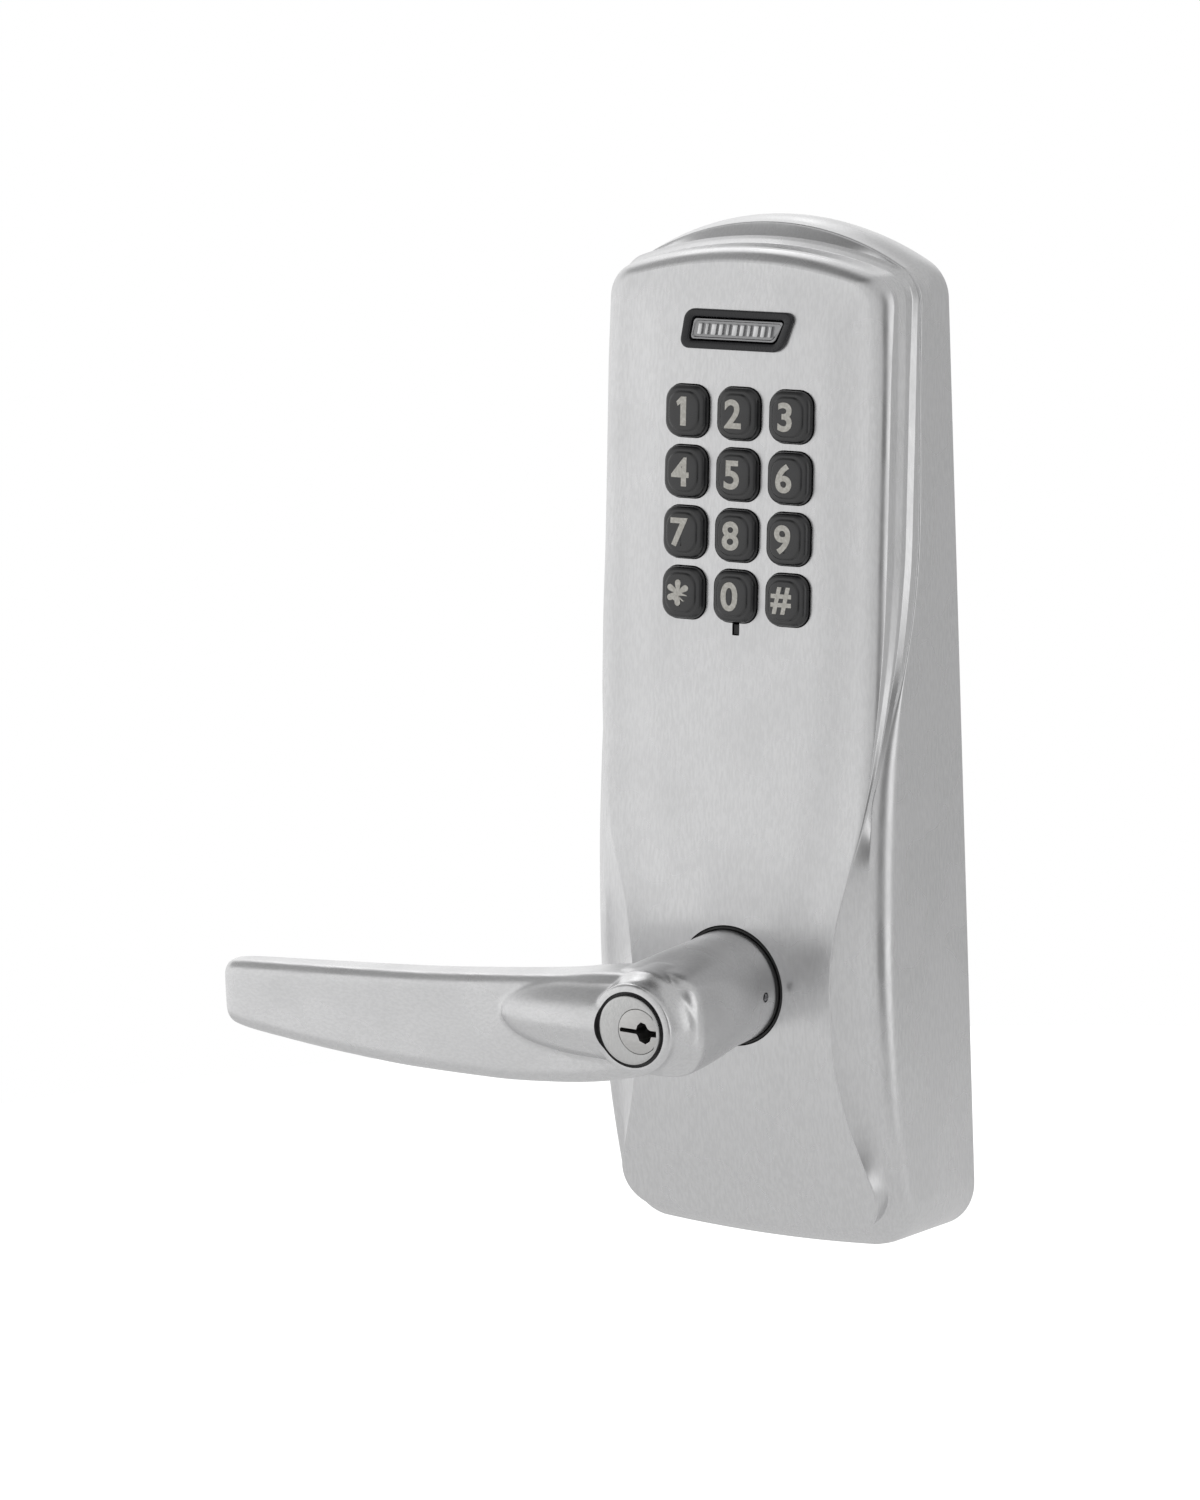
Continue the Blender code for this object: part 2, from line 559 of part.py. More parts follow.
def build_return_spring(parts, finish):
    """Torsion spring round the drive sleeve, as a coil made from a curve."""
    curve = bpy.data.curves.new("return_spring_path", "CURVE")
    curve.dimensions = "3D"
    curve.bevel_depth = 1.1 * MM
    curve.bevel_resolution = 2
    curve.use_fill_caps = True
    turns, per_turn, radius = 5, 20, 18.5
    path = curve.splines.new("POLY")
    count = turns * per_turn
    path.points.add(count)
    for i in range(count + 1):
        angle = 2 * math.pi * i / per_turn
        depth = 8.0 + 3.4 * i / per_turn
        path.points[i].co = (radius * math.cos(angle) * MM, -depth * MM,
                             (AXIS_Z + radius * math.sin(angle)) * MM, 1)
    coil = bpy.data.objects.new("coil_curve", curve)
    parts.objects.link(coil)
    bpy.context.view_layer.update()
    mesh = bpy.data.meshes.new_from_object(coil.evaluated_get(bpy.context.evaluated_depsgraph_get()))
    bm = bmesh.new()
    bm.from_mesh(mesh)
    bmesh.ops.remove_doubles(bm, verts=bm.verts, dist=0.00001)
    bm.to_mesh(mesh)
    bm.free()
    bpy.data.objects.remove(coil)
    mesh.materials.clear()
    mesh.materials.append(finish)
    spring = bpy.data.objects.new("return_spring", mesh)
    parts.objects.link(spring)


def build_catch(parts, finish):
    """Small spring catch in the shank, pushed in with a pin to free the lever."""
    catch = cylinder("lever_catch", 1.0, 12.0, 14.0, "X", (0, -CATCH_DEPTH, AXIS_Z), parts, finish, sides=16)
    return set_origin(catch, (13.0, -CATCH_DEPTH, AXIS_Z))


# ---- back plate and electronics ----------------------------------------------
def build_back_plate(parts, cutters, finishes):
    outline = half_outline(HALF_WIDTH - WALL - 0.4, HALF_HEIGHT - WALL - 0.4, ARCH_RADIUS - WALL,
                           TOP_CORNER - WALL, -HALF_HEIGHT + WALL + 0.4)
    ring = [(x, z) for x, _, z in mirrored([(x, 0, z) for x, z in outline])]
    plate = prism("back_plate", ring, -PLATE_THICK, 0.0, parts, finishes["zinc"])
    holes = [cylinder("hole_hub", 14.0, -9, 9, "Y", (0, 0, AXIS_Z), cutters),
             prism("hole_cable", [(x, z + 26) for x, z in rounded_rect(20, 12, 4)], -9, 9, cutters)]
    cut(plate, holes)
    for index, (x, z) in enumerate(post_places()):
        post = cylinder(f"mount_post_{index + 1}", 4.0, -PLATE_THICK - 6, POST_LENGTH, "Y", (x, 0, z), parts,
                        finishes["steel"], sides=20)
        hole = cylinder(f"hole_post_{index + 1}", 4.0 + GAP, -9, 9, "Y", (x, 0, z), cutters, sides=20)
        thread = cylinder(f"hole_thread_{index + 1}", 2.2, POST_LENGTH - 25, POST_LENGTH + 5, "Y", (x, 0, z),
                          cutters, sides=16)
        cut(plate, [hole])
        cut(post, [thread])


def post_places():
    """(x, z) of the posts that take the through-bolts."""
    return [(0, AXIS_Z + POST_SPACING), (0, AXIS_Z - POST_SPACING), (0, 112.0)]


def build_plate_screws(parts, cutters, finish):
    """Screw heads near the back plate's corners, with their slots facing into the housing."""
    for index, (x, z) in enumerate(((-36, 118), (36, 118), (-36, -112), (36, -112))):
        head = cylinder(f"plate_screw_{index + 1}", 3.2, -PLATE_THICK - 2.2 - GAP, -PLATE_THICK - GAP, "Y",
                        (x, 0, z), parts, finish, sides=20)
        slot = box(f"hole_drive_{index + 1}", (4.6, 1.2, 0.9), (x, -PLATE_THICK - 2.6, z), cutters)
        cut(head, [slot])


def build_electronics(parts, finishes):
    """Control board with its sounder and connector, and the clutch motor's drive."""
    box("control_board", (62, 1.6, 62), (0, -9.0, 58), parts, finishes["board"])
    cylinder("sounder", 8.0, -15.5, -10.1, "Y", (18, 0, 72), parts, finishes["bezel"], sides=28)
    box("harness_connector", (16, 6.0, 7), (-18, -13.1, 36), parts, finishes["nylon"])
    box("capacitor_pack", (22, 8.0, 12), (-14, -14.1, 74), parts, finishes["sleeve"])
    cylinder("clutch_motor", 6.0, -12.0, 10.0, "Z", (-22, -20, 0), parts, finishes["zinc"], sides=28)
    screw = cylinder("drive_screw", 1.5, -26.0, -12.3, "Z", (-22, -20, 0), parts, finishes["steel"], sides=16)
    set_origin(screw, (-22, -20, -12))


def build_slider(parts, cutters, finish):
    """Clutch slider that climbs the drive screw."""
    slider = box("clutch_slider", (12, 8, 7), (-22, -20, -22.5), parts, finish)
    cut(slider, [cylinder("hole_screw", 2.0, -40, 0, "Z", (-22, -20, 0), cutters, sides=16)])
    return set_origin(slider, (-22, -20, -22.5))


# ---- finishes and assembly ---------------------------------------------------
def make_finishes():
    return {
        "satin": material("satin_chrome", (0.60, 0.60, 0.60), 0.32, 1.0),
        "rubber": material("key_rubber", (0.035, 0.035, 0.038), 0.55, 0.0),
        "mat": material("mat_rubber", (0.02, 0.02, 0.02), 0.6, 0.0),
        "board": material("circuit_board", (0.03, 0.16, 0.07), 0.45, 0.0),
        "bezel": material("black_plastic", (0.02, 0.02, 0.022), 0.35, 0.0),
        "badge": material("badge_silver", (0.62, 0.62, 0.62), 0.25, 1.0),
        "light": material("light_pipe", (0.85, 0.85, 0.85), 0.2, 0.0),
        "cylinder": material("cylinder_chrome", (0.66, 0.66, 0.65), 0.25, 1.0),
        "plug": material("plug_nickel", (0.62, 0.61, 0.59), 0.3, 1.0),
        "steel": material("zinc_steel", (0.50, 0.50, 0.52), 0.4, 1.0),
        "zinc": material("zinc_plate", (0.58, 0.58, 0.60), 0.45, 1.0),
        "sleeve": material("capacitor_sleeve", (0.05, 0.05, 0.12), 0.25, 0.0),
        "nylon": material("black_nylon", (0.012, 0.012, 0.012), 0.5, 0.0),
    }


def clear_scene():
    for obj in list(bpy.data.objects):
        bpy.data.objects.remove(obj, do_unlink=True)


def main():
    clear_scene()
    parts = collection("keypad_lever_lock")
    cutters = collection("cutters", hidden=True)
    finishes = make_finishes()
    build_housing(parts, cutters, finishes["satin"])
    build_keypad(parts, finishes)
    build_badge(parts, cutters, finishes)
    set_origin(build_lever(parts, cutters, finishes["satin"]), (0, 0, AXIS_Z))
    build_cylinder(parts, cutters, finishes)
    build_drive(parts, cutters, finishes)
    build_return_spring(parts, finishes["steel"])
    build_catch(parts, finishes["steel"])
    build_back_plate(parts, cutters, finishes)
    build_plate_screws(parts, cutters, finishes["steel"])
    build_electronics(parts, finishes)
    build_slider(parts, cutters, finishes["nylon"])


main()
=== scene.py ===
"""Looks for the outside half of a keypad lever lock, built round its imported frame.

The frame's axes hold throughout: origin at the centre of the rear face, +Y into
the door, +Z up.  Shapes are drawn in millimetres and become metres when a mesh
is made; "depth" is the distance in front of the door, so y = -depth.
"""
import math

import bmesh
import bpy
import numpy as np
from mathutils import Matrix, Vector


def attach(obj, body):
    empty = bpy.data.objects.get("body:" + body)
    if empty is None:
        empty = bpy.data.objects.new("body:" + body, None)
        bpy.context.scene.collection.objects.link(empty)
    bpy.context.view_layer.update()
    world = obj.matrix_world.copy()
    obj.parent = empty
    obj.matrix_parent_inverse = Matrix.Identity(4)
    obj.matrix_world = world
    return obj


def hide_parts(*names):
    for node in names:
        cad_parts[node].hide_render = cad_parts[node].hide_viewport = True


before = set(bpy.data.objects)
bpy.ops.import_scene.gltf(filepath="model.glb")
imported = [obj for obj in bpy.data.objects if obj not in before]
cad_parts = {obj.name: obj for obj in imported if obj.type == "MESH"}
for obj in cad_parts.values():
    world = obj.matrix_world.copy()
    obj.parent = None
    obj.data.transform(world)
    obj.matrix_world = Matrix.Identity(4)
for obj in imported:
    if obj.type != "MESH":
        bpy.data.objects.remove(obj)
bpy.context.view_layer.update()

MM = 0.001
ROOT = "housing_assembly"

# ---- sizes, most of them shared with the CAD ---------------------------------------
HALF_WIDTH = 46.0
HALF_HEIGHT = 138.5
WALL = 3.2
AXIS_Z = -62.0
ARCH_RADIUS = 82.0
FRAME_ARCH_RADIUS = 118.0
PANEL_ARCH_RADIUS = 134.0
TOP_CORNER = 11.0
FRAME_CORNER = 10.0
PANEL_CORNER = 8.0
FLOOR_RADIUS = 420.0
FLOOR_CORNER = 14.0
FLOOR_DRAFT = 2.6
PANEL_TOP_INSET = 0.9
PANEL_FLOOR_INSET = 8.0
EDGE_RADIUS = 5.6
EDGE_FORWARD = 2.2        # how far the round box edge stands in front of the side wall's end
EDGE_START = 0.4
GAP = 0.3
# Tables of (z, value): depth of the panel on its centre line, fall from there to the panel's edge, half
# width of the panel, depth where the side wall ends, drop of the frame, share of the round box edge.
PANEL_DEPTH = [(138.5, 27.6), (90, 32.5), (42, 37.7), (0, 42.4), (-31, 46.2), (-62, 48.1),
               (-92, 47.0), (-110, 45.0), (-124, 42.8), (-138.5, 39.7)]
PANEL_CROWN = [(138.5, 1.3), (60, 1.4), (10, 1.2), (-31, 0.6), (-62, 0.4), (-92, 0.6), (-138.5, 1.4)]
PANEL_HALF = [(138.5, 45.75), (40, 45.75), (16, 45.0), (0, 43.4), (-15, 40.6), (-31, 36.2),
              (-45, 32.6), (-62, 31.0), (-77, 31.0), (-94, 33.4), (-109, 37.6), (-120, 40.9),
              (-128, 42.2), (-138.5, 42.6)]
WALL_END = [(138.5, 12.0), (92, 16.2), (73, 17.2), (55, 18.9), (47, 20.4), (37, 23.0), (27, 26.8),
            (16, 31.2), (0, 36.0), (-15, 38.3), (-31, 40.0), (-62, 41.4), (-91, 40.3), (-110, 37.8),
            (-124, 35.2), (-138.5, 32.5)]
FRAME_DROP = [(138.5, 12.2), (55, 12.2), (47, 11.6), (37, 10.3), (27, 8.9), (16, 6.4), (0, 3.4),
              (-15, 1.0), (-25, 0.40), (-138.5, 0.40)]
BOX_EDGE = [(138.5, 0.0), (24, 0.0), (4, 0.75), (-12, 1.0), (-138.5, 1.0)]

# Frame round the panel, from its outer crease inward: (share of the drop at the sides, at the top,
# inset at the sides, at the top, repeats of the ring).
FRAME_STEPS = [(1.00, 1.00, 0.00, 2.65, 3), (0.86, 0.90, 0.95, 3.40, 2), (0.85, 0.76, 1.00, 4.30, 2),
               (0.70, 0.66, 1.05, 4.42, 2), (0.47, 0.42, 1.85, 4.60, 2), (0.22, 0.30, 2.00, 4.85, 2),
               (0.12, 0.18, 2.75, 5.45, 1), (0.055, 0.09, 3.80, 6.20, 1), (0.015, 0.025, 5.20, 7.10, 1),
               (0.00, 0.00, 7.00, 8.20, 3)]

KEY_PITCH = 16.0
KEY_TOP_ROW_Z = 90.0
KEY_WIDTH = 12.7
KEY_HEIGHT = 13.8
KEY_CORNER = 4.0
KEY_CENTRE_X = 0.3
PANEL_TILT = math.atan2(PANEL_DEPTH[2][1] - PANEL_DEPTH[1][1], PANEL_DEPTH[1][0] - PANEL_DEPTH[2][0])
BADGE_X, BADGE_Z = -1.2, 111.8
BADGE_WIDTH, BADGE_HEIGHT, BADGE_SLANT = 32.6, 10.6, 1.8
BEZEL_LEAN = 2.2
WINDOW_SLANT = BADGE_SLANT * 0.6
WINDOW_LEAN = 1.8
RIB_COUNT = 11

SHANK_RADIUS = 15.35
BORE_RADIUS = 16.5
FACE_BORE = 10.2
CYLINDER_RADIUS = 9.3
PLUG_RADIUS = 6.0
PLUG_OFFSET = 2.9
PLUG_CLEARANCE = 0.07
CYLINDER_FRONT = 98.0
CYLINDER_BACK = 63.5
COLLAR_RADIUS = 12.4
CATCH_DEPTH = 54.5
CATCH_HOLE_RADIUS = 1.35
ROUND_SIDES = 96
# Blade sections: (x, top, bottom, front depth, back depth), heights from the lever axis.
BLADE = [(6.0, 11.0, -12.6, 89.0, 73.0), (-4, 12.6, -15.4, 91.0, 74.5), (-14, 12.2, -17.5, 92.0, 76.2),
         (-26, 10.6, -19.0, 92.4, 78.0), (-48, 8.6, -20.2, 92.6, 79.8), (-72, 6.8, -20.0, 92.8, 80.8),
         (-96, 5.6, -18.6, 92.8, 81.6),
         (-116, 4.6, -16.8, 92.4, 82.0), (-130, 3.8, -15.2, 91.8, 82.2), (-136, 3.0, -13.8, 91.0, 82.6)]


# ---- small maths ----------------------------------------------------------------
def cubic(table, z):
    """Value of a (z, value) table at z, by monotone cubic interpolation."""
    rows = np.array(sorted(table), dtype=float)
    zs, vs = rows[:, 0], rows[:, 1]
    z = min(max(z, zs[0]), zs[-1])
    steps = np.diff(zs)
    slopes = np.diff(vs) / steps
    tangents = np.zeros(len(zs))
    tangents[0], tangents[-1] = slopes[0], slopes[-1]
    for i in range(1, len(zs) - 1):
        if slopes[i - 1] * slopes[i] > 0:
            w1 = 2 * steps[i] + steps[i - 1]
            w2 = steps[i] + 2 * steps[i - 1]
            tangents[i] = (w1 + w2) / (w1 / slopes[i - 1] + w2 / slopes[i])
    i = min(int(np.searchsorted(zs, z, side="right")) - 1, len(zs) - 2)
    t = (z - zs[i]) / steps[i]
    rise = (1 + 2 * t) * (1 - t) ** 2 * vs[i] + t * t * (3 - 2 * t) * vs[i + 1]
    return rise + steps[i] * (t * (1 - t) ** 2 * tangents[i] - t * t * (1 - t) * tangents[i + 1])


class Curve:
    """A table sampled once and blurred a little, so that reflections run smoothly along it."""

    def __init__(self, table, blur=6.0):
        self.zs = np.linspace(-150.0, 150.0, 1201)
        raw = np.array([cubic(table, z) for z in self.zs])
        width = int(blur / 0.25)
        kernel = np.hanning(2 * width + 3)
        kernel /= kernel.sum()
        padded = np.pad(raw, width + 1, mode="edge")
        self.vs = np.convolve(padded, kernel, mode="valid")

    def __call__(self, z):
        return np.interp(z, self.zs, self.vs)


panel_top = Curve(PANEL_DEPTH)
panel_crown = Curve(PANEL_CROWN)
panel_half = Curve(PANEL_HALF, 4.0)
wall_end = Curve(WALL_END)
frame_drop = Curve(FRAME_DROP)
box_edge = Curve(BOX_EDGE, 4.0)


def mix(a, b, t):
    """Value a share t of the way from a to b."""
    return a + (b - a) * t


def ramp(x, low, high):
    """Smooth step from 0 at low to 1 at high."""
    t = np.clip((x - low) / (high - low), 0.0, 1.0)
    return t * t * (3 - 2 * t)


def spline(rows, per_span):
    """Uniform cubic B-spline down a list of equal-length rings; repeats make an edge tighter."""
    rows = np.array(rows, dtype=float)
    out = []
    for i in range(len(rows) - 3):
        a, b, c, d = rows[i:i + 4]
        for step in range(per_span):
            t = step / per_span
            out.append((a * (1 - t) ** 3 + b * (3 * t ** 3 - 6 * t * t + 4)
                        + c * (-3 * t ** 3 + 3 * t * t + 3 * t + 1) + d * t ** 3) / 6)
    a, b, c = rows[-3:]
    out.append((a + 4 * b + c) / 6)
    kept = [out[0]]
    for ring in out[1:]:
        if np.abs(ring - kept[-1]).max() > 0.02:
            kept.append(ring)
    return kept


# ---- mesh helpers ---------------------------------------------------------------
def new_object(name, bm, materials, sharp=None):
    """Turn a bmesh drawn in millimetres into a smooth-shaded object in metres."""
    bmesh.ops.recalc_face_normals(bm, faces=bm.faces)
    bmesh.ops.scale(bm, vec=(MM, MM, MM), verts=bm.verts)
    for face in bm.faces:
        face.smooth = True
    mesh = bpy.data.meshes.new(name)
    bm.to_mesh(mesh)
    bm.free()
    if sharp:
        mesh.set_sharp_from_angle(angle=math.radians(sharp))
    for mat in materials:
        mesh.materials.append(mat)
    obj = bpy.data.objects.new(name, mesh)
    bpy.context.scene.collection.objects.link(obj)
    return obj


def add_ring(bm, points):
    """New vertices at the points."""
    return [bm.verts.new(p) for p in points]


def bridge(bm, ring_a, ring_b, material=0):
    """Band of quads between two closed rings."""
    count = len(ring_a)
    for i in range(count):
        j = (i + 1) % count
        bm.faces.new((ring_a[i], ring_a[j], ring_b[j], ring_b[i])).material_index = material


def loft_into(bm, rings, caps=True, material=0):
    """Skin over a list of point rings; returns the rings of vertices."""
    made = [add_ring(bm, ring) for ring in rings]
    for a, b in zip(made, made[1:]):
        bridge(bm, a, b, material)
    if caps:
        bm.faces.new(made[0]).material_index = material
        bm.faces.new(made[-1]).material_index = material
    return made


def fan(bm, ring, centre, material=0):
    """Close a ring with triangles to one middle point."""
    middle = bm.verts.new(centre)
    count = len(ring)
    for i in range(count):
        bm.faces.new((ring[i], ring[(i + 1) % count], middle)).material_index = material


def rounded_rect(width, height, corner, steps=8, slant=0.0, lean=0.0):
    """Closed outline (x, z) with round corners; slant leans both sides, lean only the right one."""
    points = []
    for quarter in range(4):
        sx = (1, -1, -1, 1)[quarter]
        sz = (1, 1, -1, -1)[quarter]
        for step in range(steps + 1):
            angle = math.radians(90 * quarter + 90 * step / steps)
            x = sx * (width / 2 - corner) + corner * math.cos(angle)
            z = sz * (height / 2 - corner) + corner * math.sin(angle)
            points.append((x + (slant + lean * max(x, 0) * 2 / width) * z / height, z))
    return points


def circle(radius, y, offset=0.0):
    """Ring of points about the lever axis, or about a line beside it, at one place along Y."""
    return [(offset + radius * math.cos(a), y, AXIS_Z + radius * math.sin(a))
            for a in np.linspace(0, 2 * math.pi, ROUND_SIDES + 1)[:-1]]


def lathe(bm, profile, material=0):
    """Closed (radius, y) outline turned about the lever axis."""
    made = [add_ring(bm, circle(radius, y)) for radius, y in profile]
    for ring, following in zip(made, made[1:] + made[:1]):
        bridge(bm, ring, following, material)


def solid_cylinder(bm, radius, y_front, y_back):
    """Plain cylinder about the lever axis, between two places along Y."""
    loft_into(bm, [circle(radius, y) for y in (y_front, y_back)])


def cutter(name, build):
    """Temporary solid for a Boolean; build fills its bmesh in millimetres."""
    bm = bmesh.new()
    build(bm)
    return new_object(name, bm, [])


def apply_modifiers(obj):
    """Swap the object's mesh for its evaluated one."""
    bpy.context.view_layer.update()
    graph = bpy.context.evaluated_depsgraph_get()
    mesh = bpy.data.meshes.new_from_object(obj.evaluated_get(graph))
    old = obj.data
    obj.modifiers.clear()
    obj.data = mesh
    bpy.data.meshes.remove(old)


def boolean(obj, tools, operation="DIFFERENCE"):
    """Apply exact Booleans, then remove their tools."""
    for tool in tools:
        modifier = obj.modifiers.new(tool.name, "BOOLEAN")
        modifier.operation = operation
        modifier.solver = "EXACT"
        modifier.object = tool
    apply_modifiers(obj)
    for tool in tools:
        bpy.data.objects.remove(tool, do_unlink=True)


def on_panel(obj, x, z):
    """Place a piece drawn about its own origin on the tilted keypad plane."""
    depth = PANEL_DEPTH[1][1] + (KEY_TOP_ROW_Z - z) * math.tan(PANEL_TILT)
    obj.matrix_world = Matrix.Translation(Vector((x, -depth, z)) * MM) @ Matrix.Rotation(-PANEL_TILT, 4, "X")
    return obj


# ---- materials ------------------------------------------------------------------
class Nodes:
    """Short way to wire a Principled material."""

    def __init__(self, name, colour, roughness, metallic=0.0, **sockets):
        self.mat = bpy.data.materials.new(name)
        self.mat.use_nodes = True
        self.tree = self.mat.node_tree
        self.shader = self.tree.nodes["Principled BSDF"]
        self.shader.inputs["Base Color"].default_value = (*colour, 1.0)
        self.shader.inputs["Roughness"].default_value = roughness
        self.shader.inputs["Metallic"].default_value = metallic
        for key, value in sockets.items():
            self.shader.inputs[key.replace("_", " ")].default_value = value
        self.place = self.add("ShaderNodeTexCoord").outputs["Object"]

    def add(self, kind, **settings):
        node = self.tree.nodes.new(kind)
        for key, value in settings.items():
            setattr(node, key, value)
        return node

    def link(self, a, b):
        self.tree.links.new(a, b)

    def noise(self, scale, detail=2.0, stretch=(1, 1, 1), rough=0.5):
        """Noise in object space; scale counts features per metre, stretch scales each axis."""
        move = self.add("ShaderNodeMapping")
        move.inputs["Scale"].default_value = stretch
        self.link(self.place, move.inputs["Vector"])
        node = self.add("ShaderNodeTexNoise")
        node.inputs["Scale"].default_value = scale
        node.inputs["Detail"].default_value = detail
        node.inputs["Roughness"].default_value = rough
        self.link(move.outputs["Vector"], node.inputs["Vector"])
        return node.outputs["Fac"]

    def band(self, fac, low, high, to_low, to_high):
        """Smooth step that turns the range low to high into to_low to to_high."""
        node = self.add("ShaderNodeMapRange", interpolation_type="SMOOTHSTEP")
        node.inputs["From Min"].default_value = low
        node.inputs["From Max"].default_value = high
        node.inputs["To Min"].default_value = to_low
        node.inputs["To Max"].default_value = to_high
        self.link(fac, node.inputs["Value"])
        return node.outputs["Result"]

    def colour(self, fac, a, b):
        """Base colour that runs from a to b with fac."""
        node = self.add("ShaderNodeMix", data_type="RGBA")
        node.inputs[6].default_value = (*a, 1.0)
        node.inputs[7].default_value = (*b, 1.0)
        self.link(fac, node.inputs[0])
        self.link(node.outputs[2], self.shader.inputs["Base Color"])

    def rough(self, fac, low, high, a, b):
        self.link(self.band(fac, low, high, a, b), self.shader.inputs["Roughness"])

    def bump(self, height, strength, distance):
        node = self.add("ShaderNodeBump")
        node.inputs["Strength"].default_value = strength
        node.inputs["Distance"].default_value = distance
        self.link(height, node.inputs["Height"])
        self.link(node.outputs["Normal"], self.shader.inputs["Normal"])


def satin_metal(name, colour, roughness, grain, stretch, strength=0.12, spread=0.06):
    """Satin plated metal: fine directional grain, cloudy gloss and a light tone change."""
    m = Nodes(name, colour, roughness, 1.0)
    fine = m.noise(grain, 3.0, stretch, 0.6)
    cloud = m.noise(45.0, 2.0)
    m.rough(cloud, 0.35, 0.65, roughness - spread, roughness + spread)
    darker = tuple(c * 0.93 for c in colour)
    m.colour(m.band(fine, 0.35, 0.65, 0.0, 1.0), darker, colour)
    m.bump(fine, strength, 0.00005)
    return m.mat


def make_materials():
    """Every procedural finish, by its short name."""
    made = {}
    made["satin"] = satin_metal("satin_chrome", (0.72, 0.72, 0.725), 0.28, 1500.0, (1, 1, 0.22), 0.05)
    made["lever"] = satin_metal("satin_chrome_lever", (0.72, 0.72, 0.725), 0.30, 1500.0, (0.5, 1, 1), 0.06)
    made["cylinder"] = satin_metal("cylinder_chrome", (0.60, 0.60, 0.595), 0.27, 2200.0, (1, 1, 0.4), 0.1)
    made["plug"] = satin_metal("plug_nickel", (0.60, 0.595, 0.585), 0.30, 2400.0, (0.3, 1, 1), 0.12)
    made["badge"] = satin_metal("badge_silver", (0.34, 0.34, 0.345), 0.26, 1800.0, (1, 1, 0.5), 0.1)
    made["steel"] = satin_metal("zinc_steel", (0.55, 0.55, 0.57), 0.36, 1500.0, (1, 0.2, 1), 0.25, 0.1)
    made["zinc"] = satin_metal("zinc_plate", (0.60, 0.61, 0.63), 0.42, 900.0, (1, 1, 0.3), 0.2, 0.12)

    m = Nodes("key_rubber", (0.012, 0.012, 0.014), 0.3, 0.0, Specular_IOR_Level=0.85)
    pores = m.noise(2600.0, 3.0)
    worn = m.noise(180.0, 2.0)
    m.rough(worn, 0.35, 0.7, 0.22, 0.36)
    m.colour(m.band(worn, 0.4, 0.75, 0.0, 1.0), (0.007, 0.007, 0.008), (0.016, 0.016, 0.018))
    m.bump(pores, 0.2, 0.00005)
    made["rubber"] = m.mat

    m = Nodes("legend_ink", (0.60, 0.585, 0.54), 0.5)
    speck = m.noise(1500.0, 3.0)
    m.colour(m.band(speck, 0.35, 0.7, 0.0, 1.0), (0.52, 0.505, 0.46), (0.66, 0.645, 0.60))
    m.bump(speck, 0.2, 0.00003)
    made["ink"] = m.mat

    m = Nodes("mat_rubber", (0.02, 0.02, 0.02), 0.6)
    pores = m.noise(1600.0, 3.0)
    m.colour(pores, (0.012, 0.012, 0.013), (0.032, 0.032, 0.033))
    m.bump(pores, 0.3, 0.00008)
    made["mat"] = m.mat

    m = Nodes("black_plastic", (0.014, 0.014, 0.016), 0.28)
    fine = m.noise(1400.0, 2.0)
    m.rough(fine, 0.3, 0.7, 0.22, 0.36)
    m.colour(fine, (0.010, 0.010, 0.012), (0.022, 0.022, 0.025))
    m.bump(fine, 0.12, 0.00004)
    made["plastic"] = m.mat

    m = Nodes("black_nylon", (0.014, 0.014, 0.014), 0.5)
    fine = m.noise(1100.0, 3.0)
    m.colour(fine, (0.010, 0.010, 0.010), (0.030, 0.030, 0.031))
    m.bump(fine, 0.25, 0.00006)
    made["nylon"] = m.mat

    m = Nodes("light_pipe", (0.86, 0.87, 0.86), 0.22, 0.0, Transmission_Weight=0.35)
    haze = m.noise(300.0, 2.0)
    m.colour(haze, (0.78, 0.80, 0.79), (0.90, 0.91, 0.90))
    m.rough(haze, 0.3, 0.7, 0.18, 0.3)
    made["light"] = m.mat

    m = Nodes("capacitor_sleeve", (0.04, 0.045, 0.12), 0.28)
    wrinkle = m.noise(260.0, 3.0, (1, 1, 4))
    m.colour(wrinkle, (0.03, 0.033, 0.10), (0.06, 0.066, 0.16))
    m.bump(wrinkle, 0.3, 0.0003)
    made["sleeve"] = m.mat

    m = Nodes("circuit_board", (0.02, 0.12, 0.05), 0.38)
    tracks = m.add("ShaderNodeTexBrick", offset=0.35)
    tracks.inputs["Scale"].default_value = 260.0
    tracks.inputs["Mortar Size"].default_value = 0.05
    tracks.inputs["Color1"].default_value = (0.012, 0.095, 0.040, 1)
    tracks.inputs["Color2"].default_value = (0.016, 0.120, 0.052, 1)
    tracks.inputs["Mortar"].default_value = (0.05, 0.24, 0.10, 1)
    turn = m.add("ShaderNodeMapping")
    turn.inputs["Rotation"].default_value = (math.radians(90), 0, 0)
    m.link(m.place, turn.inputs["Vector"])
    m.link(turn.outputs["Vector"], tracks.inputs["Vector"])
    m.link(tracks.outputs["Color"], m.shader.inputs["Base Color"])
    m.bump(tracks.outputs["Fac"], 0.4, 0.00004)
    made["board"] = m.mat
    return made


NODE_FINISH = {
    "lever_bushing": "nylon", "drive_sleeve": "steel", "spring_cage": "zinc", "cage_cover": "steel",
    "return_spring": "steel", "spindle": "steel", "lever_catch": "steel", "tailpiece": "steel",
    "back_plate": "zinc", "keypad_mat": "mat", "weep_tab": "mat", "keypad_board": "board",
    "control_board": "board", "sounder": "plastic", "light_pipe": "light", "harness_connector": "nylon",
    "capacitor_pack": "sleeve", "clutch_motor": "zinc", "drive_screw": "steel", "clutch_slider": "nylon",
}


